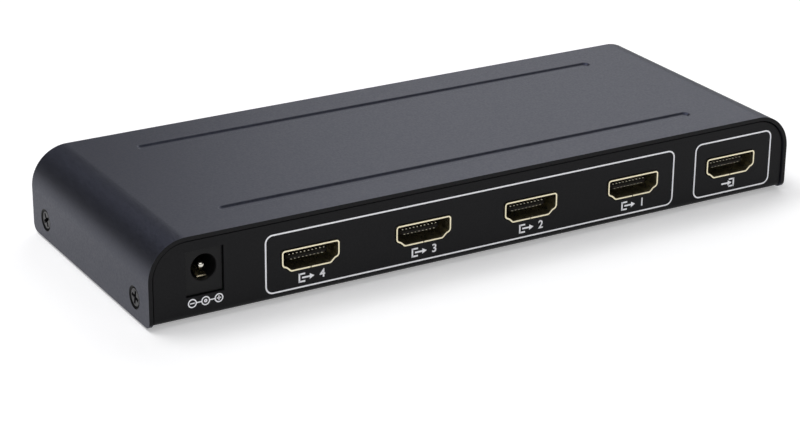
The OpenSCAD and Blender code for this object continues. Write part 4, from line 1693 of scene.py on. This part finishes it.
    def rear(self, tray: Tray, port: Port, cover: Cover) -> None:
        """Print the rear panel.

        Args:
            tray: The tray that is printed on.
            port: The receptacles to label.
            cover: The cover, from whose end the frames are measured.
        """
        end = -cover.high.x
        runs = (self.output_frame, self.input_frame)
        marks = [self.frame((end + run[0], end + run[1]), self.frame_heights) for run in runs]
        for name in PORTS:
            x = -port.mouth(name).x
            if name == "input":
                marks += self.arrow(x, self.rear_label, True)
            else:
                marks += self.arrow(x + self.arrow_place, self.rear_label, False)
                marks.append(self.text(x + self.number_place, self.rear_label, name[-1], self.number))
        low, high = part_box("jack_housing")
        marks += self.polarity(-(low.x + high.x) / 2, low.z - self.polarity_drop)
        face = Face(Vector((0, tray.high.y, 0)), Vector((-1, 0, 0)))
        hand_over(face.lay(join("rear_print", marks)), WHITE_INK)

    def front(self, tray: Tray, switch: Switch) -> None:
        """Print the front panel.

        Args:
            tray: The tray that is printed on.
            switch: The switch to label.
        """
        marks = []
        for node in LAMPS:
            low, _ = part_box(node)
            x = low.x + Lamps.flange_radius
            if node == "lamp_power":
                marks += self.power(x, self.front_label)
            elif node == "lamp_input":
                marks += self.arrow(x, self.front_label, True)
            else:
                marks.append(self.text(x, self.front_label, node[-1], self.number))
        marks.append(self.text(switch.pivot.x, self.front_label, "OFF/ON", self.switch_text))
        face = Face(Vector((0, tray.low.y, 0)), Vector((1, 0, 0)))
        hand_over(face.lay(join("front_print", marks)), WHITE_INK)

    def rocker(self, switch: Switch) -> None:
        """Print the rocker's two marks.

        Args:
            switch: The switch whose rocker is printed on.
        """
        off = switch.mark_face(-1).lay(self.ring(0, 0, *self.off_ring))
        on = switch.mark_face(1).lay(self.bar(0, 0, *self.on_bar))
        marks = join("rocker_print", [off, on])
        hand_over(marks, WHITE_INK, body=Body.ROCKER)


@dataclass
class BoardParts:
    """Solids that stay as they are: the board, what it carries, and the small metal parts."""

    def dress(self, nodes: dict[str, Object]) -> None:
        """Give each solid its finish.

        Args:
            nodes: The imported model's solids.
        """
        finishes = {
            SOLDER_MASK: ["main_board"],
            TINNED_STEEL: [
                "board_standoffs", "board_screws", "lamp_leads", "chip_leads", "switch_terminals",
            ],
            GOLD_STRIP: [f"{port}_contacts" for port in PORTS],
            NICKEL: ["jack_pin"],
            BRONZE: ["jack_spring", "switch_blade", "switch_plunger"],
            SPRING_STEEL: ["switch_spring"],
            VINYL: ["switch_wires"],
            CHIP_EPOXY: ["splitter_chip", "regulator", "memory_chips", "port_filters"],
            SILICONE: ["thermal_pad"],
            ANODISED: ["heat_sink"],
            ALUMINIUM: ["capacitors", "crystal"],
            FERRITE: ["power_inductor"],
        }
        for finish, names in finishes.items():
            for name in names:
                nodes[name].data.materials.clear()
                nodes[name].data.materials.append(finish.material())
                log.info("%s: %s", name, finish.name)


@dataclass(frozen=True)
class Softbox:
    """A large soft light.

    Attributes:
        name: The light's name.
        place: Where it stands.
        aim: The point that it shines on.
        size: Its width and height.
        power: Its power in watts.
    """

    name: str
    place: tuple[float, float, float]
    aim: tuple[float, float, float]
    size: tuple[float, float]
    power: float

    def build(self) -> None:
        """Set up the light."""
        data = bpy.data.lights.new(self.name, "AREA")
        data.shape, data.energy = "RECTANGLE", self.power
        data.size, data.size_y = self.size
        light = bpy.data.objects.new(self.name, data)
        light.location = self.place
        run = Vector(self.aim) - Vector(self.place)
        light.rotation_euler = run.to_track_quat("-Z", "Y").to_euler()
        bpy.context.scene.collection.objects.link(light)


@dataclass
class Studio:
    """A white table lit from below, soft lights and the camera."""

    aim: Vector = Vector((5.67, 2.18, -1.45)) * MM
    distance: float = 587.5 * MM
    azimuth: float = 149.59
    elevation: float = 22.45
    roll: float = 0.53
    lens: float = 105.72
    sensor: float = 36.0
    clip: tuple[float, float] = (0.01, 50.0)
    floor_size: float = 6.0
    sky: float = 0.02
    lights: tuple[Softbox, ...] = (
        Softbox("overhead", (0.35, -0.05, 1.1), (0.0, 0.0, 0.0), (1.2, 0.8), 5.5),
        Softbox("key", (-0.74, -0.64, 0.69), (0.0, 0.0, 0.0), (1.08, 0.8), 5.2),
        Softbox("wash", (0.45, -0.6, 1.3), (0.35, -0.5, 0.0), (1.0, 0.8), 7.0),
        Softbox("fill", (0.3, 1.2, 0.7), (0.0, 0.0, 0.0), (1.6, 0.8), 6.0),
    )

    def build(self) -> None:
        """Set up the camera, the floor and the lights."""
        self.camera()
        self.floor()
        for light in self.lights:
            light.build()
        scene = bpy.context.scene
        scene.view_settings.view_transform = "Standard"
        world = bpy.data.worlds.new("studio")
        world.use_nodes = True
        sky = world.node_tree.nodes["Background"].inputs
        sky["Color"].default_value, sky["Strength"].default_value = (1, 1, 1, 1), self.sky
        scene.world = world

    def camera(self) -> None:
        """Stand the camera at the photograph's angle."""
        turn, rise = math.radians(self.azimuth), math.radians(self.elevation)
        back = Vector((math.sin(turn) * math.cos(rise), -math.cos(turn) * math.cos(rise), math.sin(rise)))
        data = bpy.data.cameras.new("camera")
        data.lens, data.sensor_width = self.lens, self.sensor
        data.clip_start, data.clip_end = self.clip
        camera = bpy.data.objects.new("camera", data)
        level = (-back).to_track_quat("-Z", "Y").to_matrix().to_4x4()
        lean = Matrix.Rotation(math.radians(self.roll), 4, "Z")
        camera.matrix_world = Matrix.Translation(self.aim + back * self.distance) @ level @ lean
        bpy.context.scene.collection.objects.link(camera)
        bpy.context.scene.camera = camera

    def floor(self) -> None:
        """Lay the table under the feet."""
        floor = leaf("floor", self.floor_size, self.floor_size)
        floor.data.materials.append(OPAL_ACRYLIC.material())


def main() -> None:
    """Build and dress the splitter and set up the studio."""
    logging.basicConfig(level=logging.INFO, format="%(message)s")
    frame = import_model()
    joints = {joint["name"]: Vector(joint["pos_m"]) for joint in frame["joints"]}
    mounts = {mount["name"]: Vector(mount["pos_m"]) for mount in frame["record"]["mounts"]}
    Studio().build()
    cover, port, tray = Cover(), Port(), Tray()
    switch = Switch(joints["rocker_hinge"], tray.low.y)
    cover.build()
    SideScrews(cover).build()
    Feet().build(cover)
    port.build()
    Jack().build(mounts["power_pin"])
    switch.build()
    tray.build(cover, port, switch)
    Lamps().build()
    BoardParts().dress(frame["nodes"])
    ink = Print()
    ink.rear(tray, port, cover)
    ink.front(tray, switch)
    ink.rocker(switch)
    deselect()


if __name__ == "__main__":
    main()
